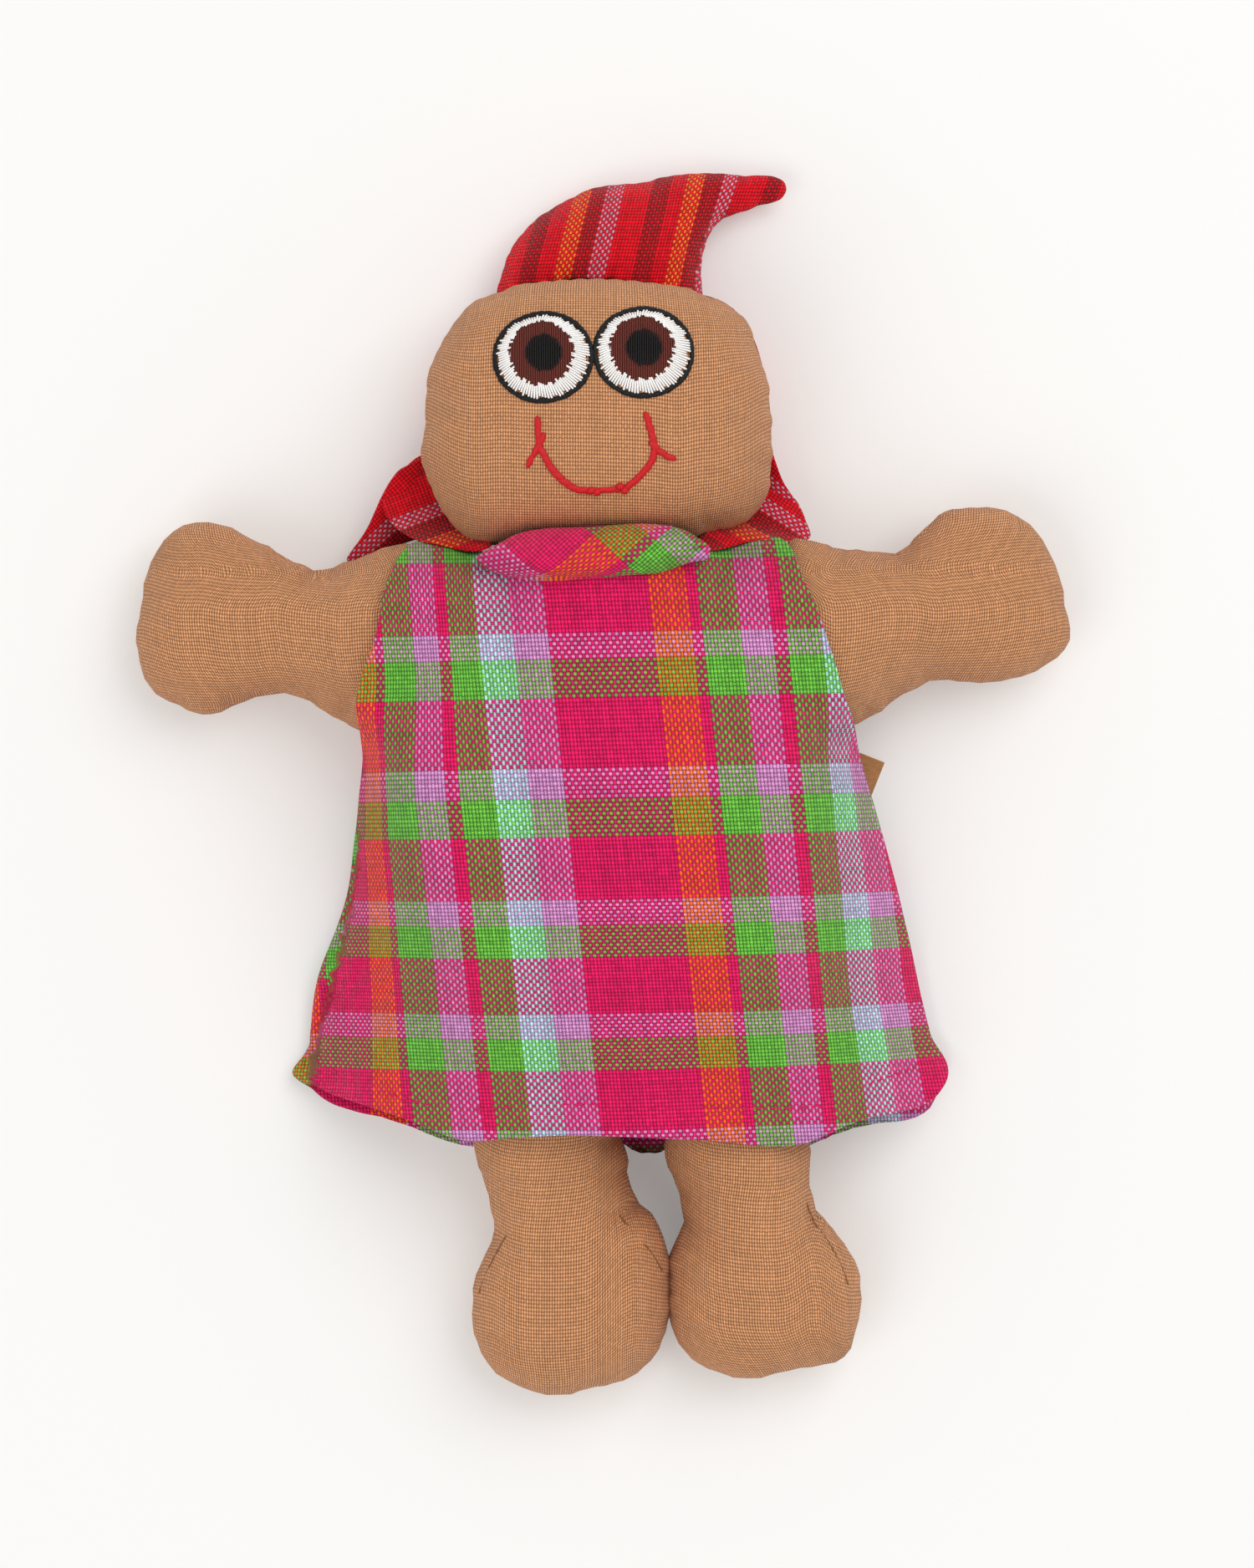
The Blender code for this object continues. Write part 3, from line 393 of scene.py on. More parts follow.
def woven(name, pitches, warp, weft, origin=(0.0, 0.0), unevenness=0.14, reach=0.3):
    """A plain weave. pitches are from warp to warp and from weft to weft, origin is where each
    order starts, and the warp also shows wherever the weft's height is below reach."""
    material, tree, shader = new_material(name, {
        "Roughness": 0.9, "Specular IOR Level": 0.2, "Sheen Weight": 0.1, "Sheen Roughness": 0.5})
    cloth = add(tree, "UVMap", uv_map=CLOTH_MAP)
    place = add(tree, "SeparateXYZ", {0: cloth})
    numbers, humps, colours = [], [], []
    for axis, (order, pitch) in enumerate(zip((warp, weft), pitches)):
        count = add(tree, "Math", {0: place.outputs[axis], 1: pitch}, operation="DIVIDE")
        number = add(tree, "Math", {0: count}, operation="FLOOR")
        share = add(tree, "Math", {0: count}, operation="FRACT")
        turn = add(tree, "Math", {0: share, 1: math.pi}, operation="MULTIPLY")
        hump = add(tree, "Math", {0: turn}, operation="SINE")
        ramp = add(tree, "ValToRGB")
        whole = stripes(ramp.color_ramp, order) * MM
        where = add(tree, "Math", {0: number, 1: pitch / whole, 2: -origin[axis] / whole},
                    operation="MULTIPLY_ADD")
        looked_up = add(tree, "Math", {0: where}, operation="FRACT")
        tree.links.new(looked_up.outputs[0], ramp.inputs[0])
        spun = add(tree, "TexWhiteNoise", {"W": number}, noise_dimensions="1D")
        tone = add(tree, "MapRange", {
            0: spun.outputs["Value"], 3: 1 - unevenness, 4: 1 + unevenness / 2})
        colour = add(tree, "VectorMath", {0: ramp, "Scale": tone}, operation="SCALE")
        numbers.append(number)
        humps.append(hump)
        colours.append(colour)
    sum_of_two = add(tree, "Math", {0: numbers[0], 1: numbers[1]}, operation="ADD")
    half = add(tree, "Math", {0: sum_of_two, 1: 0.5}, operation="MULTIPLY")
    odd = add(tree, "Math", {0: half}, operation="FRACT")
    over = add(tree, "Math", {0: odd, 1: 0.25}, operation="GREATER_THAN")
    dips = add(tree, "Math", {0: humps[1], 1: reach}, operation="LESS_THAN")
    warp_on_top = add(tree, "Math", {0: over, 1: dips}, operation="MAXIMUM")
    top, below = (add(tree, "Mix", {0: warp_on_top, 6: colours[a], 7: colours[1 - a]},
                      data_type="RGBA") for a in (1, 0))
    # Painted bounce light: the top thread's colour is tinted by the colour of the thread below.
    glow = add(tree, "VectorMath", {
        0: below.outputs[2], 1: [PAINTED_BOUNCE] * 3, 2: [1 - PAINTED_BOUNCE] * 3}, operation="MULTIPLY_ADD")
    tinted = add(tree, "VectorMath", {0: top.outputs[2], 1: glow}, operation="MULTIPLY")
    crossing = add(tree, "CombineXYZ", {0: numbers[0], 1: numbers[1]})
    chance = add(tree, "TexWhiteNoise", {"Vector": crossing}, noise_dimensions="2D")
    fleck = add(tree, "MapRange", {0: chance, 3: 1 - unevenness, 4: 1 + unevenness})
    crown = add(tree, "Mix", {0: warp_on_top, 2: humps[1], 3: humps[0]},
                data_type="FLOAT")
    both = add(tree, "Math", {0: humps[0], 1: humps[1]}, operation="MULTIPLY")
    height = add(tree, "Math", {0: crown.outputs[0], 1: both}, operation="ADD")
    share = add(tree, "Math", {0: height, 1: 0.5}, operation="MULTIPLY")
    # Painted shade and highlight: by the threads' height, the gaps take the colour times itself, darkened, and
    # the crowns are lightened.
    twice = add(tree, "VectorMath", {0: tinted, 1: tinted}, operation="MULTIPLY")
    gap = add(tree, "VectorMath", {0: twice, "Scale": 1 - PAINTED_GAP_SHADE}, operation="SCALE")
    ridge = add(tree, "VectorMath", {0: tinted, "Scale": 1 + PAINTED_GAP_SHADE * PAINTED_CROWN_HIGHLIGHT},
                operation="SCALE")
    shaded = add(tree, "Mix", {0: share, 6: gap, 7: ridge}, data_type="RGBA")
    colour = add(tree, "VectorMath", {0: shaded.outputs[2], "Scale": fleck},
                 operation="SCALE")
    bump = add(tree, "Bump", {
        "Strength": BUMP, "Distance": min(pitches) * BUMP_RISE, "Height": height})
    tree.links.new(colour.outputs[0], shader.inputs["Base Color"])
    tree.links.new(bump.outputs[0], shader.inputs["Normal"])
    return material


print("share of light that bounces between threads:", PAINTED_BOUNCE)

# %% [markdown]
# ## Stuffing
#
# A stuffed toy is two flat panels sewn together and filled. A cloth simulation with air pressure
# inside rounds the copy of the solid out as filling does. The simulation would go on swelling, so
# each point is held within a set distance of where it started.

# %% Pressure
PRESSURE = 4.0
FRAMES = 20


def stuffed(obj, cap, free):
    """Rounds the piece out under pressure. free is each point's share of the movement."""
    start = points_of(obj)
    cloth = obj.modifiers.new("stuffing", "CLOTH")
    cloth.settings.use_pressure = True
    cloth.settings.uniform_pressure_force = PRESSURE
    cloth.settings.effector_weights.gravity = 0
    for number in range(1, FRAMES + 1):
        scene.frame_set(number)
    applied(obj)
    scene.frame_set(1)
    moved = points_of(obj) - start
    far = np.linalg.norm(moved, axis=1)
    share = free * np.minimum(1, cap / np.maximum(far, 1e-9))
    print(obj.name, "moved", round(float(far.mean() / MM), 2), "mm on average before the cap")
    move_points(obj, start + moved * share[:, None])


print("pressure:", PRESSURE, "for", FRAMES, "frames")

# %% [markdown]
# ## Canvas body and head
#
# The body is one pair of panels: torso, two arms with mitten hands and two legs with round feet.
# Only the arms and legs are free to swell, because the dress lies close over the torso.

# %% Tan canvas
CANVAS_THREADS = (0.54 * MM, 0.78 * MM)
# A matt, even ground of small round threads. The canvas is unprinted, so both are nearly one tan.
canvas = woven("tan cotton canvas, plain woven", CANVAS_THREADS, [(1, "#E6B386")],
               [(1, "#DDAB7E")], unevenness=0.09)

# %% Body
ARMHOLE_X = 46 * MM
HEM_Y = -70 * MM
EDGE = 8 * MM
LUMP, LUMP_SIZE = 0.9 * MM, 16 * MM
BODY_FILLING, BODY_SWELL = 1.5 * MM, 1.2 * MM
# Pulls and creases are in mm.
BODY_PULLS = [((6, -90), (2.6, 1.0), 11), ((50, 47), (0, 1.4), 14), ((-43, 47.5), (0, 1.8), 12),
              ((24, 47), (0, 2.8), 9), ((38, 48), (0, 2.4), 8)]
WRIST_CREASES = [[(66.2, 48.5), (65.8, 41.5)], [(69.2, 23.5), (68.2, 30.0)],
                 [(-66.5, 25.5), (-66.0, 31.0)]]
WRIST_DEPTH, WRIST_WIDTH = 0.8, 0.9


def ramp_up(values):
    """0 below zero, 1 above one, and smooth between."""
    values = np.clip(values, 0, 1)
    return values * values * (3 - 2 * values)


def plumper(obj, amount, free):
    """Moves the sides outwards, level with the floor, as a firm filling does."""
    sideways = normals_of(obj) * (1, 1, 0)
    move_points(obj, points_of(obj) + sideways * (amount * free)[:, None])


def pull(obj, *pulls):
    """Pulls the piece sideways, less and less out to a radius. Each has a middle, a move and a radius."""
    for middle, move, radius in pulls:
        places = points_of(obj)
        far = np.hypot(*(places[:, :2] - np.array(middle) * MM).T) / (radius * MM)
        places[:, :2] += (1 - ramp_up(far))[:, None] * np.array(move) * MM
        move_points(obj, places)


def lumpy(obj, amount, size, free, whole=False, rise=0.0):
    """Raises and sinks the surface a little. whole moves both sides of a thin piece together."""
    places = points_of(obj)
    way = np.array((0, 0, 1.0)) if whole else normals_of(obj)
    lift = rise + np.array([noise.noise(Vector((x, y, 0 if whole else z)) / size)
                            for x, y, z in places])
    move_points(obj, places + way * (lift * amount * free)[:, None])


def crease(obj, line, depth, width, whole=False):
    """Presses the upper side down along a line, or raises a ridge if depth is below zero. All in mm."""
    places = points_of(obj)
    flat = places[:, :2] / MM
    nearest = np.full(len(flat), np.inf)
    for start, end in zip(line, line[1:]):
        start, way = np.array(start, float), np.subtract(end, start)
        share = np.clip((flat - start) @ way / (way @ way), 0, 1)
        nearest = np.minimum(nearest, np.hypot(*(flat - start - share[:, None] * way).T))
    upper = 1.0 if whole else np.clip(normals_of(obj)[:, 2], 0, 1)
    places[:, 2] -= depth * MM * np.exp(-(nearest / width) ** 2) * upper
    move_points(obj, places)


body = copied("body", "canvas_body", 1)
x, y, z = points_of(body).T
bare = np.maximum(ramp_up((np.abs(x) - ARMHOLE_X) / EDGE), ramp_up((HEM_Y - y) / EDGE))
plumper(body, BODY_FILLING, bare)
pull(body, *BODY_PULLS)
stuffed(body, BODY_SWELL, bare)
lumpy(body, LUMP, LUMP_SIZE, bare)
for line in WRIST_CREASES:
    crease(body, line, WRIST_DEPTH, WRIST_WIDTH)
lay_threads(body)
ready(body, canvas, "tan_canvas", "body")

# %% [markdown]
# ## Head
#
# The head is a bag of the same canvas, wide and low, and it is stuffed harder than the body. Its
# solid is already round, so the pressure only draws in the corners. Two places are pulled a little
# outwards, where the filling pushes the cheeks out in the real one.

# %% Head
CHEEK_PULLS = [((-37, 82), (-0.7, 0), 20), ((38, 80), (0.8, 0), 25)]
HEAD_SWELL = 0.3 * MM
head = copied("head", "canvas_head", 2)
pull(head, *CHEEK_PULLS)
stuffed(head, HEAD_SWELL, np.ones(len(points_of(head))))
lay_threads(head)
ready(head, canvas, "tan_canvas", "head")

# %% [markdown]
# ## The plaid dress
#
# The dress is handloom cotton: crimson, lilac, green, turquoise and orange stripes in the warp,
# and crimson, lilac and green bands in the weft. To the eye it is a matt, lively check, in which
# every crossing of two colours is a field of dots. The stripes' widths are in millimetres, and one
# repeat of the warp is the sum of them.

# %% Plaid
CRIMSON, ORANGE, GREEN, LILAC, TURQUOISE = "#F11E7B", "#FF822E", "#86D256", "#E4A9DA", "#C8FAF8"
DRESS_THREADS = (0.70 * MM, 0.87 * MM)
DRESS_WARP = [(21.1, CRIMSON), (7.5, ORANGE), (2.5, CRIMSON), (7.1, GREEN), (6.8, LILAC),
              (2.7, CRIMSON), (7.1, GREEN), (6.8, TURQUOISE), (7.2, LILAC)]
DRESS_WEFT = [(14.0, CRIMSON), (7.7, GREEN), (6.0, LILAC)]
WARP_START = -8.1 * MM
WEFT_START = 2.7 * MM
WARP_LEAN = 0.107
plaid = woven("crimson plaid cotton, handloom woven", DRESS_THREADS, DRESS_WARP, DRESS_WEFT,
              (WARP_START, WEFT_START))

# %% [markdown]
# ## Front and back of the dress
#
# The dress is two panels sewn at the shoulders and down the sides. It hangs wider towards the hem,
# so its stripes lean and spread there, and the cloth that turns down at the sides shows narrower
# stripes. A soft ridge runs down from the left armhole, and beside it a deep crease folds a strip of
# the side back under. A cloth simulation would place those folds by chance, so they are given one
# by one: a few pulls sideways, broad lumps for the drape, and a ridge and a crease along lines.

# %% Dress panels
front = copied("dress_front", "dress_front_panel", 2)
back = copied("dress_back", "dress_back_panel", 1)
FLAT_HALF, SIDE_RUN, SIDE_SLACK = 38 * MM, 14 * MM, (0.5, 0.25)
SHOULDER_Y, SHOULDER_RUN = 44 * MM, 14 * MM
ARM_EXTRA, ARM_X, ARM_WIDTH, ARM_Y, ARM_RUN = 5.0 * MM, -26 * MM, 20 * MM, -5 * MM, 30 * MM
LOWER_Y, LOWER_RUN, LOWER_SLACK = -5 * MM, 75 * MM, 12 * MM
BAND_RISE = 0.02
DRAPE, DRAPE_SIZE, DRAPE_RISE = 2.6 * MM, 26 * MM, 0.35
SEAM_TOP, SEAM_RUN = 10 * MM, 8 * MM
LEFT_RIDGE = [(-43.4, 30.9), (-47.6, 9.2), (-49.8, -25.5), (-53.7, -35.9)]
LEFT_CREASE = [(-51.8, -4.0), (-50.0, -13.4), (-52.8, -29.8), (-55.4, -41.1), (-59.8, -56.8)]
BEYOND_SHIFT = (23 * MM, 5.6 * MM)
DRESS_PULLS = [
    ((-60, -50), (-1.6, 0), 22), ((-52, -8), (-0.8, 0), 30), ((-45, -68), (0.3, 1.8), 20),
    ((50, -68), (0, 1.0), 16), ((-61, -58.5), (-3.0, -0.6), 5), ((-57, -38), (-2.6, 0), 20),
    ((68, -58), (1.8, 0.3), 7), ((-47, 30), (1.3, 0), 12), ((-38, -72), (0, 1.5), 13)]
pull(back, ((9, -73), (0, -3.5), 9))


def hang(u, v, places):
    """Lays the plaid flat over the middle. More cloth passes down the sides and towards the hem."""
    x, y = places[:, 0], places[:, 1]
    down_side = ramp_up((np.abs(x) - FLAT_HALF) / SIDE_RUN) * ramp_up((SHOULDER_Y - y) / SHOULDER_RUN)
    across = x + (u - x) * down_side * np.where(x < 0, *SIDE_SLACK) + WARP_LEAN * y
    across -= ARM_EXTRA * np.clip((ARM_X - x) / ARM_WIDTH, 0, 1) * ramp_up((y - ARM_Y) / ARM_RUN)
    along = y - LOWER_SLACK * ramp_up((LOWER_Y - y) / LOWER_RUN) - BAND_RISE * x
    edge_x, edge_y = np.array(LEFT_CREASE).T * MM
    beyond = (x < np.interp(-y, -edge_y, edge_x)) & (y < edge_y[0])
    return across + BEYOND_SHIFT[0] * beyond, along + BEYOND_SHIFT[1] * beyond


for panel, node in ((front, "dress_front"), (back, "dress_back")):
    pull(panel, *DRESS_PULLS)
    if panel is front:
        off_the_seams = ramp_up((points_of(panel)[:, 2] - SEAM_TOP) / SEAM_RUN)
        lumpy(panel, DRAPE, DRAPE_SIZE, off_the_seams, whole=True, rise=DRAPE_RISE)
        crease(panel, LEFT_RIDGE, -1.2, 3.0, whole=True)
        crease(panel, LEFT_CREASE, 2.6, 1.3, whole=True)
    lay_threads(panel, hang)
    ready(panel, plaid, "dress_cotton", node)

# %% [markdown]
# ## Scarf
#
# A band of the dress's cloth is folded into a soft roll under the chin. It was cut on the bias, at
# 45 degrees to the threads, so that it could bend without creasing, and the plaid shows as diamonds.
# The cloth map is turned to match, with the cloth's length taken round the roll, and a few creases
# mark where the band is caught down with a stitch.

# %% Scarf
ROLL_Y, ROLL_HALF = 47.1 * MM, 5.6 * MM
BIAS_WARP, BIAS_WEFT = 16.8 * MM, 16.7 * MM


def on_the_bias(u, v, places):
    """Threads at 45 degrees to a roll, whose cloth runs round it."""
    x, y = places[:, 0], places[:, 1]
    round_roll = ROLL_HALF * np.arcsin(np.clip((y - ROLL_Y) / ROLL_HALF, -1, 1))
    half = math.sqrt(0.5)
    return (x - round_roll) * half + BIAS_WARP, (x + round_roll) * half + BIAS_WEFT


scarf = copied("scarf", "bias_scarf", 2)
pull(scarf, ((-24, 52), (0.5, -1.6), 8), ((18, 42), (0, 1.4), 8))
for line, depth, width in (
        ([(4.6, 43.0), (12, 44.6), (18.7, 44.5)], 0.9, 0.8), ([(-24.1, 45.4), (-17.3, 43.0)], 0.9, 0.9),
        ([(-18, 50.5), (-4, 48.6), (6, 50.2)], 0.6, 1.6), ([(18.6, 46.9), (20.8, 47.9)], 3.5, 1.0),
        ([(14.5, 50), (16.8, 46)], 0.9, 0.9)):
    crease(scarf, line, depth, width)
lay_threads(scarf, on_the_bias)
ready(scarf, plaid, "dress_cotton", "scarf")

# %% [markdown]
# ## Striped hood
#
# The hood is thin red handloom cotton with stripes in the warp only. It covers the back of the head,
# and its stuffed peak bends over to one side. The red weft shows between the coloured warp threads,
# which gives the eye a warm red ground with dotted lines of pale pink, orange and maroon. The base of
# the peak is tucked behind the head, where the seam is, and its stripes lean with the bend.

# %% Hood
RED, MAROON, HOOD_ORANGE, PALE = "#F20A2C", "#A22626", "#FF9A34", "#E2B0C8"
HOOD_THREADS = (0.62 * MM, 0.74 * MM)
HOOD_START = 0.7 * MM
HOOD_WARP = [(5.8, RED), (3.4, MAROON), (3.7, RED), (3.6, HOOD_ORANGE), (3.6, MAROON), (3.2, PALE)]
striped = woven("red striped cotton, handloom woven", HOOD_THREADS, HOOD_WARP, [(1, RED)], (HOOD_START, 0),
                reach=0.0)
STRIPE_LEAN = 0.22
BASE_TUCK, BASE_Y, BASE_RUN = 4 * MM, 108 * MM, 8 * MM
STRIPE_LEVEL = 108.6 * MM
CAP_FILLING, CAP_SHIFT = 0.6 * MM, np.array((-0.5, 1.0, 0)) * MM
cap = copied("hood_cap", "hood_peak", 2)
plumper(cap, CAP_FILLING, np.ones(len(points_of(cap))))
places = points_of(cap) + CAP_SHIFT
places[:, 1] -= BASE_TUCK * ramp_up((BASE_Y - places[:, 1]) / BASE_RUN)
move_points(cap, places)
lay_threads(cap, lambda u, v, places: (u - STRIPE_LEAN * (places[:, 1] - STRIPE_LEVEL), v))
ready(cap, striped, "hood_cotton", "hood_cap")
hood = copied("hood_back", "hood_flare", 1)
pull(hood, ((42, 72), (-2.0, 0), 16))


def slanted(turn, start):
    """A cloth map for stripes that lean by an angle, with the pale stripe's middle at start."""
    pale = (sum(width for width, _ in HOOD_WARP[:-1]) + HOOD_WARP[-1][0] / 2) * MM

    def threads(u, v, places):
        x, y = np.abs(places[:, 0]), places[:, 1]
        return (math.sin(turn) * x + math.cos(turn) * y - start + pale + HOOD_START,
                math.cos(turn) * x - math.sin(turn) * y)
    return threads


lay_threads(hood, slanted(math.radians(41), 68.4 * MM))
ready(hood, striped, "hood_cotton", "hood_back")

# %% [markdown]
# ## Folded edges of the hood
#
# In front of each shoulder the hood's edge folds forward over the arm, as a small flap of double
# cloth. Each flap is a strip of faces between an outer and an inner edge, given rib by rib, made
# thick and smooth. Every rib rests just above the body and the dress, which a ray finds.

# %% Folded edges of the hood
FOLD_THICKNESS, FOLD_CROWN, CLEARANCE = 0.5 * MM, 1.4 * MM, 0.9 * MM
LEFT_FOLD = [
    ((-37.9, 67.8), (-33.5, 68.0), 8), ((-41.8, 64.1), (-33.5, 64.9), 9),
    ((-44.2, 60.2), (-31.8, 61.0), 10.5), ((-46.2, 57.1), (-30.3, 56.4), 12),
    ((-43.0, 52.2), (-28.9, 54.0), 14), ((-37.6, 49.0), (-27.6, 52.4), 17),
    ((-34.0, 48.8), (-25.4, 51.0), 20), ((-29.1, 47.3), (-23.0, 49.6), 24),
    ((-25.0, 46.9), (-22.0, 48.2), 26)]
RIGHT_FOLD = [
    ((34.5, 63.4), (31.5, 62.5), 8), ((37.6, 60.7), (31.3, 61.2), 9),
    ((40.0, 57.3), (30.1, 57.8), 10.5), ((42.0, 53.0), (29.1, 55.6), 12),
    ((43.4, 49.6), (27.8, 54.4), 13), ((37.6, 49.2), (26.2, 53.5), 15),
    ((34.5, 49.9), (24.9, 52.9), 18), ((29.1, 49.2), (22.8, 52.0), 22),
    ((25.2, 47.7), (20.6, 51.0), 25), ((20.9, 46.6), (18.9, 50.0), 26)]


def folded_edge(name, ribs, turn, start):
    """A flap of cloth between an outer and an inner edge. Each rib gives both ends and its height."""
    graph = bpy.context.evaluated_depsgraph_get()
    below = [BVHTree.FromObject(piece, graph) for piece in (body, front)]
    points = []
    for outer, inner, height in ribs:
        for share in (0.0, 0.5, 1.0):
            x, y = (np.array(outer) * (1 - share) + np.array(inner) * share) * MM
            hits = [tree.ray_cast(Vector((x, y, 1)), Vector((0, 0, -1)))[0] for tree in below]
            ground = max([hit.z + CLEARANCE for hit in hits if hit], default=0)
            points.append((x, y, max(height * MM, ground) + FOLD_CROWN * math.sin(math.pi * share)))
    faces = [(k, k + 1, k + 4, k + 3) for i in range(len(ribs) - 1) for k in (3 * i, 3 * i + 1)]
    mesh = bpy.data.meshes.new(name)
    mesh.from_pydata(points, [], faces)
    made = placed(name, mesh)
    thick = made.modifiers.new("thickness", "SOLIDIFY")
    thick.thickness, thick.offset = FOLD_THICKNESS, 0
    subdivided(made, 3)
    lay_threads(made, slanted(turn, start))
    ready(made, striped, "hood_cotton")
    return made


left_fold = folded_edge("hood_fold_left", LEFT_FOLD, math.radians(21), 64.4 * MM)
right_fold = folded_edge("hood_fold_right", RIGHT_FOLD, math.radians(33), 65.7 * MM)

# %% [markdown]
# ## Embroidery
#
# The eyes are satin stitch: threads laid side by side from one edge of a shape to the other. The
# outlines and the smile are stem stitch, short stitches that each start beside the end of the one
# before. Both repeat one stitch many times, so Geometry Nodes make them: one tree lays threads
# between two ovals, the other sets stitches along a line. Both drop their work onto the face.

# %% Node trees and what they make
SKY = 0.3


def stitch_tree(name, sockets):
    """An empty tree with named inputs. It returns the tree, its inputs and its output."""
    tree = bpy.data.node_groups.new(name, "GeometryNodeTree")
    tree.interface.new_socket("Geometry", in_out="OUTPUT", socket_type="NodeSocketGeometry")
    tree.interface.new_socket("Geometry", in_out="INPUT", socket_type="NodeSocketGeometry")
    for label, kind in sockets.items():
        tree.interface.new_socket(label, in_out="INPUT", socket_type="NodeSocket" + kind)
    return tree, add(tree, "NodeGroupInput").outputs, add(tree, "NodeGroupOutput").inputs


def made_with(tree, name, start, values):
    """Runs the tree on the starting object, and returns its result as a plain mesh object."""
    sockets = {i.name: i.identifier for i in tree.interface.items_tree if i.in_out == "INPUT"}
    modifier = start.modifiers.new("stitches", "NODES")
    modifier.node_group = tree
    for label, value in values.items():
        modifier[sockets[label]] = value
    bpy.context.view_layer.update()
    graph = bpy.context.evaluated_depsgraph_get()
    made = placed(name, bpy.data.meshes.new_from_object(start.evaluated_get(graph)))
    bpy.data.objects.remove(start)
    made.name = name
    return made


def dropped(tree, cloth, place, lift):
    """Nodes that drop a place straight down onto the cloth and raise it by lift."""
    solid = add(tree, "GeometryNodeObjectInfo", {"Object": cloth}, transform_space="RELATIVE")
    high = add(tree, "VectorMath", {0: place, 1: (0, 0, SKY)}, operation="ADD")
    hit = add(tree, "GeometryNodeRaycast", {
        "Target Geometry": solid.outputs["Geometry"], "Source Position": high,
        "Ray Direction": (0, 0, -1), "Ray Length": 1.0})
    rise = add(tree, "CombineXYZ", {"Z": lift})
    raised = add(tree, "VectorMath", {0: hit.outputs["Hit Position"], 1: rise}, operation="ADD")
    return raised, hit.outputs["Hit Normal"]


# %% Satin stitch
satin, given, result = stitch_tree("satin stitch", {
    "Cloth": "Object", "Inner Centre": "Vector", "Inner Half": "Vector", "Outer Centre": "Vector",
    "Outer Half": "Vector", "Threads": "Int", "Upright": "Bool", "Thickness": "Float",
    "Lift": "Float", "Crown": "Float", "Stagger": "Float", "Seed": "Int", "Material": "Material"})
number = add(satin, "GeometryNodeInputIndex")
later = add(satin, "Math", {0: number, 1: 0.5}, operation="ADD")
share = add(satin, "Math", {0: later, 1: given["Threads"]}, operation="DIVIDE")
angle = add(satin, "Math", {0: share, 1: 2 * math.pi}, operation="MULTIPLY")
around = [add(satin, "Math", {0: angle}, operation=way) for way in ("COSINE", "SINE")]
across = add(satin, "Math", {0: share, 1: 2.0, 2: -1.0}, operation="MULTIPLY_ADD")
squared = add(satin, "Math", {0: across, 1: across}, operation="MULTIPLY")
rest = add(satin, "Math", {0: 1.0, 1: squared}, operation="SUBTRACT")
upwards = add(satin, "Math", {0: rest}, operation="SQRT")
side = [add(satin, "GeometryNodeSwitch", {0: given["Upright"], 1: ring, 2: row}, input_type="FLOAT")
        for ring, row in zip(around, (across, upwards))]
heading = add(satin, "CombineXYZ", {"X": side[0], "Y": side[1]})
points = add(satin, "GeometryNodePoints", {"Count": given["Threads"]})
aimed = add(satin, "GeometryNodeStoreNamedAttribute", {
    "Geometry": points, "Name": "heading", "Value": heading}, data_type="FLOAT_VECTOR", domain="POINT")
loose = add(satin, "FunctionNodeRandomValue", {"ID": number, "Seed": given["Seed"], 2: -1.0, 3: 1.0})
uneven = add(satin, "GeometryNodeStoreNamedAttribute", {
    "Geometry": aimed, "Name": "loose", "Value": loose.outputs[1]}, data_type="FLOAT", domain="POINT")
thread = add(satin, "GeometryNodeCurvePrimitiveLine")
bent = add(satin, "GeometryNodeResampleCurve", {"Curve": thread, "Count": 6})
copies = add(satin, "GeometryNodeInstanceOnPoints", {"Points": uneven, "Instance": bent})
threads = add(satin, "GeometryNodeRealizeInstances", {"Geometry": copies})
heading = add(satin, "GeometryNodeInputNamedAttribute", {"Name": "heading"}, data_type="FLOAT_VECTOR")
loose = add(satin, "GeometryNodeInputNamedAttribute", {"Name": "loose"}, data_type="FLOAT")
ends = []
for name in ("Inner", "Outer"):
    reach = add(satin, "VectorMath", {0: heading, 1: given[name + " Half"]}, operation="MULTIPLY")
    ends.append(add(satin, "VectorMath", {0: reach, 1: given[name + " Centre"]}, operation="ADD"))
along = add(satin, "GeometryNodeSplineParameter")
slip = add(satin, "Math", {0: loose, 1: given["Stagger"]}, operation="MULTIPLY")
reached = add(satin, "Math", {0: along.outputs["Factor"], 1: slip}, operation="ADD")
place = add(satin, "Mix", {0: reached, 4: ends[0], 5: ends[1]},
            data_type="VECTOR", clamp_factor=False)
turn = add(satin, "Math", {0: along.outputs["Factor"], 1: math.pi}, operation="MULTIPLY")
hump = add(satin, "Math", {0: turn}, operation="SINE")
lift = add(satin, "Math", {0: hump, 1: given["Crown"], 2: given["Lift"]}, operation="MULTIPLY_ADD")
onto, _ = dropped(satin, given["Cloth"], place.outputs[1], lift)
laid = add(satin, "GeometryNodeSetPosition", {"Geometry": threads, "Position": onto})
round_thread = add(satin, "GeometryNodeCurvePrimitiveCircle", {"Resolution": 6, "Radius": given["Thickness"]})
body_of_thread = add(satin, "GeometryNodeCurveToMesh", {
    "Curve": laid, "Profile Curve": round_thread, "Fill Caps": True})
single = add(satin, "GeometryNodeRealizeInstances", {"Geometry": body_of_thread})
add(satin, "GeometryNodeSetMaterial", {"Geometry": single, "Material": given["Material"]})
satin.links.new(satin.nodes[-1].outputs[0], result[0])
print("satin stitch:", len(satin.nodes), "nodes")

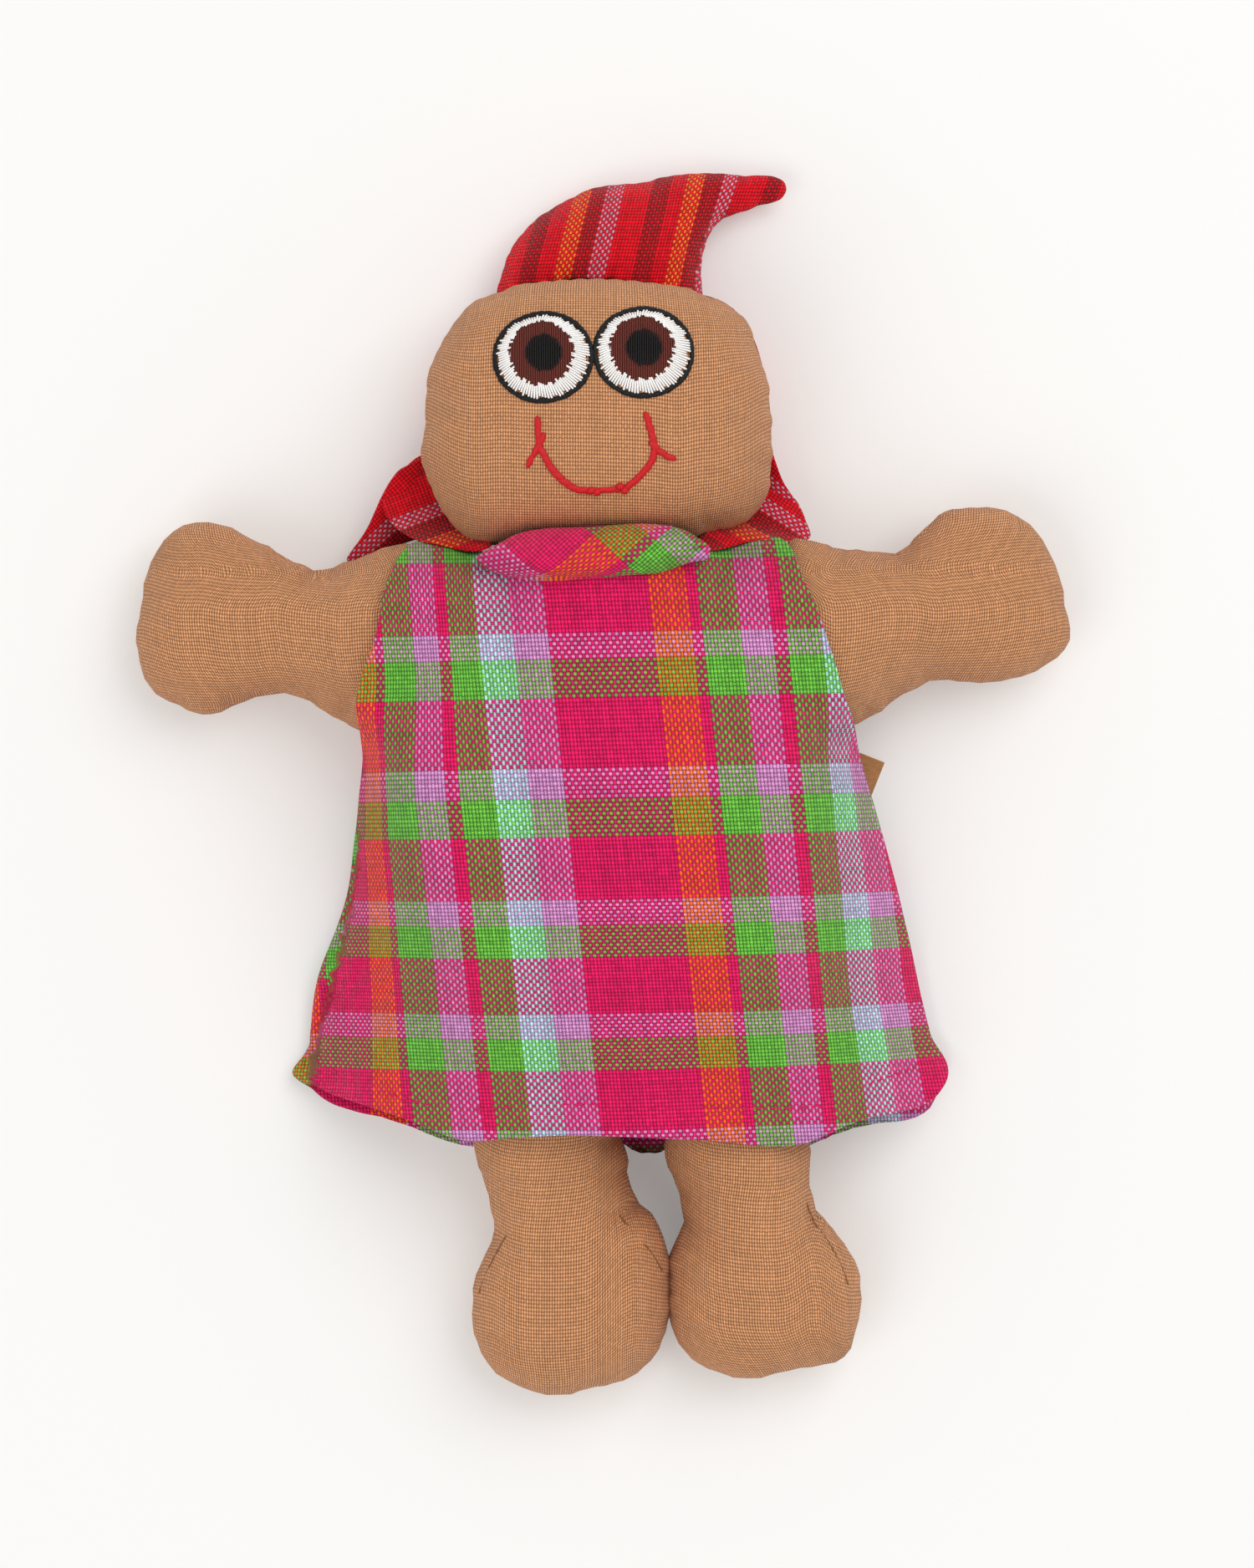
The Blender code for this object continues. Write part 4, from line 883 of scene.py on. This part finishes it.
# %% Stem stitch
stem, given, result = stitch_tree("stem stitch", {
    "Cloth": "Object", "Spacing": "Float", "Stitch": "Vector", "Slant": "Float", "Lift": "Float",
    "Unevenness": "Float", "Seed": "Int", "Material": "Material"})
place = add(stem, "GeometryNodeInputPosition")
onto, _ = dropped(stem, given["Cloth"], place, given["Lift"])
line = add(stem, "GeometryNodeSetPosition", {"Geometry": given["Geometry"], "Position": onto})
beads = add(stem, "GeometryNodeCurveToPoints", {"Curve": line, "Length": given["Spacing"]}, mode="LENGTH")
_, upright = dropped(stem, given["Cloth"], add(stem, "GeometryNodeInputPosition"), 0.0)
ahead = add(stem, "FunctionNodeAlignRotationToVector", {"Vector": beads.outputs["Tangent"]}, axis="X")
level = add(stem, "FunctionNodeAlignRotationToVector", {"Rotation": ahead, "Vector": upright},
            axis="Z", pivot_axis="X")
wander = add(stem, "FunctionNodeRandomValue", {"Seed": given["Seed"], 2: 0.6, 3: 1.4})
slant = add(stem, "Math", {0: given["Slant"], 1: wander.outputs[1]}, operation="MULTIPLY")
turned = add(stem, "FunctionNodeAxisAngleToRotation", {"Axis": (0, 0, 1), "Angle": slant})
facing = add(stem, "FunctionNodeRotateRotation", {"Rotation": level, "Rotate By": turned}, rotation_space="LOCAL")
grain = add(stem, "GeometryNodeMeshUVSphere", {"Segments": 8, "Rings": 6, "Radius": 0.5})
stitch = add(stem, "GeometryNodeTransform", {"Geometry": grain, "Scale": given["Stitch"]})
least, most = (add(stem, "Math", {0: 1.0, 1: given["Unevenness"]}, operation=way)
               for way in ("SUBTRACT", "ADD"))
size = add(stem, "FunctionNodeRandomValue", {"Seed": given["Seed"], 2: least, 3: most})
copies = add(stem, "GeometryNodeInstanceOnPoints", {
    "Points": beads, "Instance": stitch, "Rotation": facing, "Scale": size.outputs[1]})
single = add(stem, "GeometryNodeRealizeInstances", {"Geometry": copies})
smooth = add(stem, "GeometryNodeSetShadeSmooth", {"Geometry": single})
add(stem, "GeometryNodeSetMaterial", {"Geometry": smooth, "Material": given["Material"]})
stem.links.new(stem.nodes[-1].outputs[0], result[0])
print("stem stitch:", len(stem.nodes), "nodes")

# %% [markdown]
# ### Floss
#
# The threads are stranded cotton floss, mercerised, which gives it a soft silky gloss. Two fine
# strands twist round each other in a thread, too fine to show as shapes, so a slanting ripple in
# the bump stands for them.

# %% Floss
STRAND = 0.35 * MM


def floss(name, colour):
    """Silky cotton thread: a little gloss, and a fine ripple for its twisted strands."""
    material, tree, shader = new_material(name, {
        "Base Color": linear(colour), "Roughness": 0.55, "Specular IOR Level": 0.3})
    place = add(tree, "TexCoord")
    ripple = add(tree, "TexWave", {
        "Vector": place.outputs["Object"], "Scale": 0.3 / STRAND, "Distortion": 2.0},
                 bands_direction="DIAGONAL")
    bump = add(tree, "Bump", {
        "Strength": 0.3, "Distance": 0.1 * MM, "Height": ripple.outputs["Fac"]})
    tree.links.new(bump.outputs[0], shader.inputs["Normal"])
    return material


black_floss = floss("black cotton floss, mercerised", "#0C0A0A")
white_floss = floss("white cotton floss, mercerised", "#FDFBF8")
brown_floss = floss("brown cotton floss, mercerised", "#682A21")
scarlet_floss = floss("scarlet cotton floss, mercerised", "#CC1620")
print("floss: 4 colours")

# %% [markdown]
# ### Eyes
#
# Each eye has a brown iris of upright threads with a black pupil over it, a white ring of threads
# that fan out from the iris, and a black line round everything.

# %% Eyes
THREAD = 0.42 * MM
LINE_STITCH = (2.8 * MM, 1.15 * MM, 0.8 * MM)
STITCH_LIFT = 0.3       # as a share of the stitch's height
EDGE_SPACING, EDGE_SLANT = 1.5 * MM, 10
RING_START = 0.97       # the white threads start a little under the iris's edge
ROW_SHARE = 0.95
# Each solid of an eye, and how much wider and taller than it the embroidery is.
EYE_OVALS = (("eye_outline", (1.05,)), ("eye_white", (1.05,)), ("iris", (0.98,)),
             ("pupil", (0.93, 0.95)))


def oval(node, wider=1.0, taller=1.0):
    """The middle and the half sizes of a solid, seen from above, with no height."""
    low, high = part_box(node)
    half = ((high.x - low.x) / 2 * wider, (high.y - low.y) / 2 * taller, 0)
    return ((low.x + high.x) / 2, (low.y + high.y) / 2, 0), half


def metres(line):
    return [(x * MM, y * MM) for x, y in line]


def line_start(name, places, closed=False):
    """A curve through places, as the start of a line of stitches."""
    curve = bpy.data.curves.new(name, "CURVE")
    curve.dimensions = "3D"
    spline = curve.splines.new("NURBS")
    spline.points.add(len(places) - 1)
    for point, (x, y) in zip(spline.points, places):
        point.co = (x, y, 0, 1)
    spline.use_cyclic_u = closed
    spline.use_endpoint_u = not closed
    spline.order_u = 3
    return placed(name, curve)


def stitched_line(name, places, stitch, spacing, material, cloth, slant, closed=False):
    """A line of stitches over the cloth. stitch is one stitch's size, and slant is in degrees."""
    return made_with(stem, name, line_start(name, places, closed), {
        "Cloth": cloth, "Spacing": spacing, "Stitch": stitch, "Slant": math.radians(slant),
        "Lift": STITCH_LIFT * stitch[2], "Unevenness": 0.08, "Seed": 1, "Material": material})


def satin_patch(name, inner, outer, threads, material, **extra):
    """A patch of threads between two ovals. Upright threads cross one oval from edge to edge."""
    values = {"Cloth": head, "Inner Centre": inner[0], "Inner Half": inner[1], "Outer Centre": outer[0],
              "Outer Half": outer[1], "Threads": threads, "Upright": False, "Thickness": THREAD / 2,
              "Lift": 0.15 * MM, "Crown": 0.35 * MM, "Stagger": 0.06, "Seed": 3, "Material": material}
    return made_with(satin, name, placed(name, bpy.data.meshes.new(name)), {**values, **extra})


def embroider_eye(side):
    outline, white, iris, pupil = (oval(f"{side}_{piece}", *shares) for piece, shares in EYE_OVALS)
    count = int(2 * math.pi * iris[1][0] / THREAD)
    inner = (iris[0], tuple(part * RING_START for part in iris[1]))
    ring = satin_patch(side + "_white", inner, white, count, white_floss, Lift=0.3 * MM, Stagger=0.2)
    ready(ring, white_floss, "white_floss", side + "_eye_white")
    for name, whole, lift, material, slot_name in (
            ("iris", iris, 0.1, brown_floss, "brown_floss"),
            ("pupil", pupil, 0.5, black_floss, "black_floss")):
        (x, y, _), (a, b, _) = whole
        lower = ((x, y, 0), (a, -b, 0))
        count = int(2 * a / THREAD * ROW_SHARE)
        patch = satin_patch(f"{side}_{name}_satin", lower, whole, count, material,
                            Upright=True, Lift=lift * MM, Stagger=0.03)
        ready(patch, material, slot_name, f"{side}_{name}")
    (x, y, _), (a, b, _) = outline
    a, b = a - LINE_STITCH[1] / 2, b - LINE_STITCH[1] / 2
    loop = [(x + a * math.cos(t), y + b * math.sin(t)) for t in np.linspace(0, 2 * math.pi, 25)[:-1]]
    edge = stitched_line(side + "_outline", loop, LINE_STITCH, EDGE_SPACING, black_floss, head,
                         EDGE_SLANT, closed=True)
    ready(edge, black_floss, "black_floss", side + "_eye_outline")


embroider_eye("left")
embroider_eye("right")

# %% [markdown]
# ### Smile
#
# The smile is one line of stem stitch in a thicker scarlet thread, with a short branch at each
# cheek and a knot where the thread starts and ends.

# %% Smile
SMILE_STITCH = (3.4 * MM, 1.45 * MM, 0.9 * MM)
SMILE_SPACING, SMILE_SLANT = 1.9 * MM, 9
SMILE_LINE = [
    (-12.9, 71.8), (-12.9, 67.8), (-11.7, 65.6), (-10.0, 62.5), (-7.0, 59.7), (-4.9, 58.7),
    (-1.7, 58.5), (1.3, 58.8), (3.8, 58.8), (5.9, 60.0), (8.1, 62.2), (9.8, 64.3), (10.4, 67.1),
    (9.8, 69.6), (8.9, 72.8)]
LEFT_BRANCH = [(-12.2, 68.6), (-13.2, 66.8), (-14.5, 64.4)]
RIGHT_BRANCH = [(10.3, 67.4), (11.8, 65.8), (13.3, 65.2)]
LEFT_KNOT = [(-2.4, 58.6), (-1.2, 58.3)]
RIGHT_KNOT = [(3.4, 59.4), (4.3, 58.6)]
KNOT_STITCH = (1.9 * MM, 1.7 * MM, 1.5 * MM)
KNOT_SPACING, KNOT_SLANT = 0.9 * MM, 40
for name, line, node in (("smile_line", SMILE_LINE, "smile"),
                         ("left_branch", LEFT_BRANCH, "left_cheek_stitch"),
                         ("right_branch", RIGHT_BRANCH, "right_cheek_stitch")):
    made = stitched_line(name, metres(line), SMILE_STITCH, SMILE_SPACING, scarlet_floss, head, SMILE_SLANT)
    ready(made, scarlet_floss, "scarlet_floss", node)
for name, line in (("left_knot", LEFT_KNOT), ("right_knot", RIGHT_KNOT)):
    made = stitched_line(name, metres(line), KNOT_STITCH, KNOT_SPACING, scarlet_floss, head, KNOT_SLANT)
    ready(made, scarlet_floss, "scarlet_floss")

# %% [markdown]
# ### Hem and seams
#
# The hem of the dress is turned under once and held with small running stitches of crimson sewing
# cotton. The canvas panels are sewn with tan thread, and where a foot turns its side to the eye a
# piece of that seam shows.

# %% Sewing thread
# Thin, slightly glossy stitches, a shade deeper than the cloth that they hold.
crimson_thread = floss("crimson sewing cotton, two ply", "#D0145C")
tan_thread = floss("tan sewing cotton, two ply", "#8A5C36")
HEM_LINE = [
    (-57, -57.8), (-47.3, -61.2), (-37.7, -64.1), (-27.5, -65.4), (-15.6, -63.8), (3.1, -63.4),
    (21.8, -64.4), (32.6, -64.7), (42.2, -64.7), (45.4, -63.4), (52.2, -60.7), (58.7, -59),
    (63.6, -57.8), (66.8, -55.5)]
SEAMS = {"seam_right_foot": [(41.3, -85.0), (42.6, -88.7), (45.6, -92.4), (48.3, -97.5), (49.4, -100.6)],
         "seam_left_foot": [(-20.0, -91.8), (-22.8, -96.4), (-25.0, -102.4)],
         "seam_left_ankle": [(3.6, -87.4), (6.4, -90.8), (10.0, -94.9), (11.6, -98.0)]}
SEWN_STITCH = (1.9 * MM, 0.5 * MM, 0.4 * MM)
HEM_SPACING, SEAM_SPACING, SEWN_SLANT = 3.0 * MM, 1.6 * MM, 4
hem = stitched_line("hem_stitches", metres(HEM_LINE), SEWN_STITCH, HEM_SPACING, crimson_thread, front,
                    SEWN_SLANT)
ready(hem, crimson_thread, "dress_cotton")
for name, line in SEAMS.items():
    seam = stitched_line(name, metres(line), SEWN_STITCH, SEAM_SPACING, tan_thread, body, SEWN_SLANT)
    ready(seam, tan_thread, "tan_canvas")

# %% [markdown]
# ## Swing tag
#
# A small oblong of brown kraft card hangs behind the dress, and one corner of it shows. Kraft card is
# unbleached wood pulp, so it has a warm brown ground with darker and lighter fibres in it. The
# fibres are a stretched noise, a few tenths of a millimetre wide.

# %% Kraft card
kraft, tree, shader = new_material("brown kraft card, rolled", {
    "Roughness": 0.85, "Specular IOR Level": 0.25})
place = add(tree, "TexCoord")
stretched = add(tree, "Mapping", {"Vector": place.outputs["Object"], "Scale": (1, 4, 1)})
fibres = add(tree, "TexNoise", {"Vector": stretched, "Scale": 900, "Detail": 4})
blend = add(tree, "Mix", {0: fibres.outputs["Fac"], 6: linear("#A06C40"), 7: linear("#D09A68")},
            data_type="RGBA")
tree.links.new(blend.outputs[2], shader.inputs["Base Color"])
tag = copied("swing_tag", "kraft_tag", 0)
tag.data.shade_flat()
ready(tag, kraft, "kraft_card", "swing_tag")
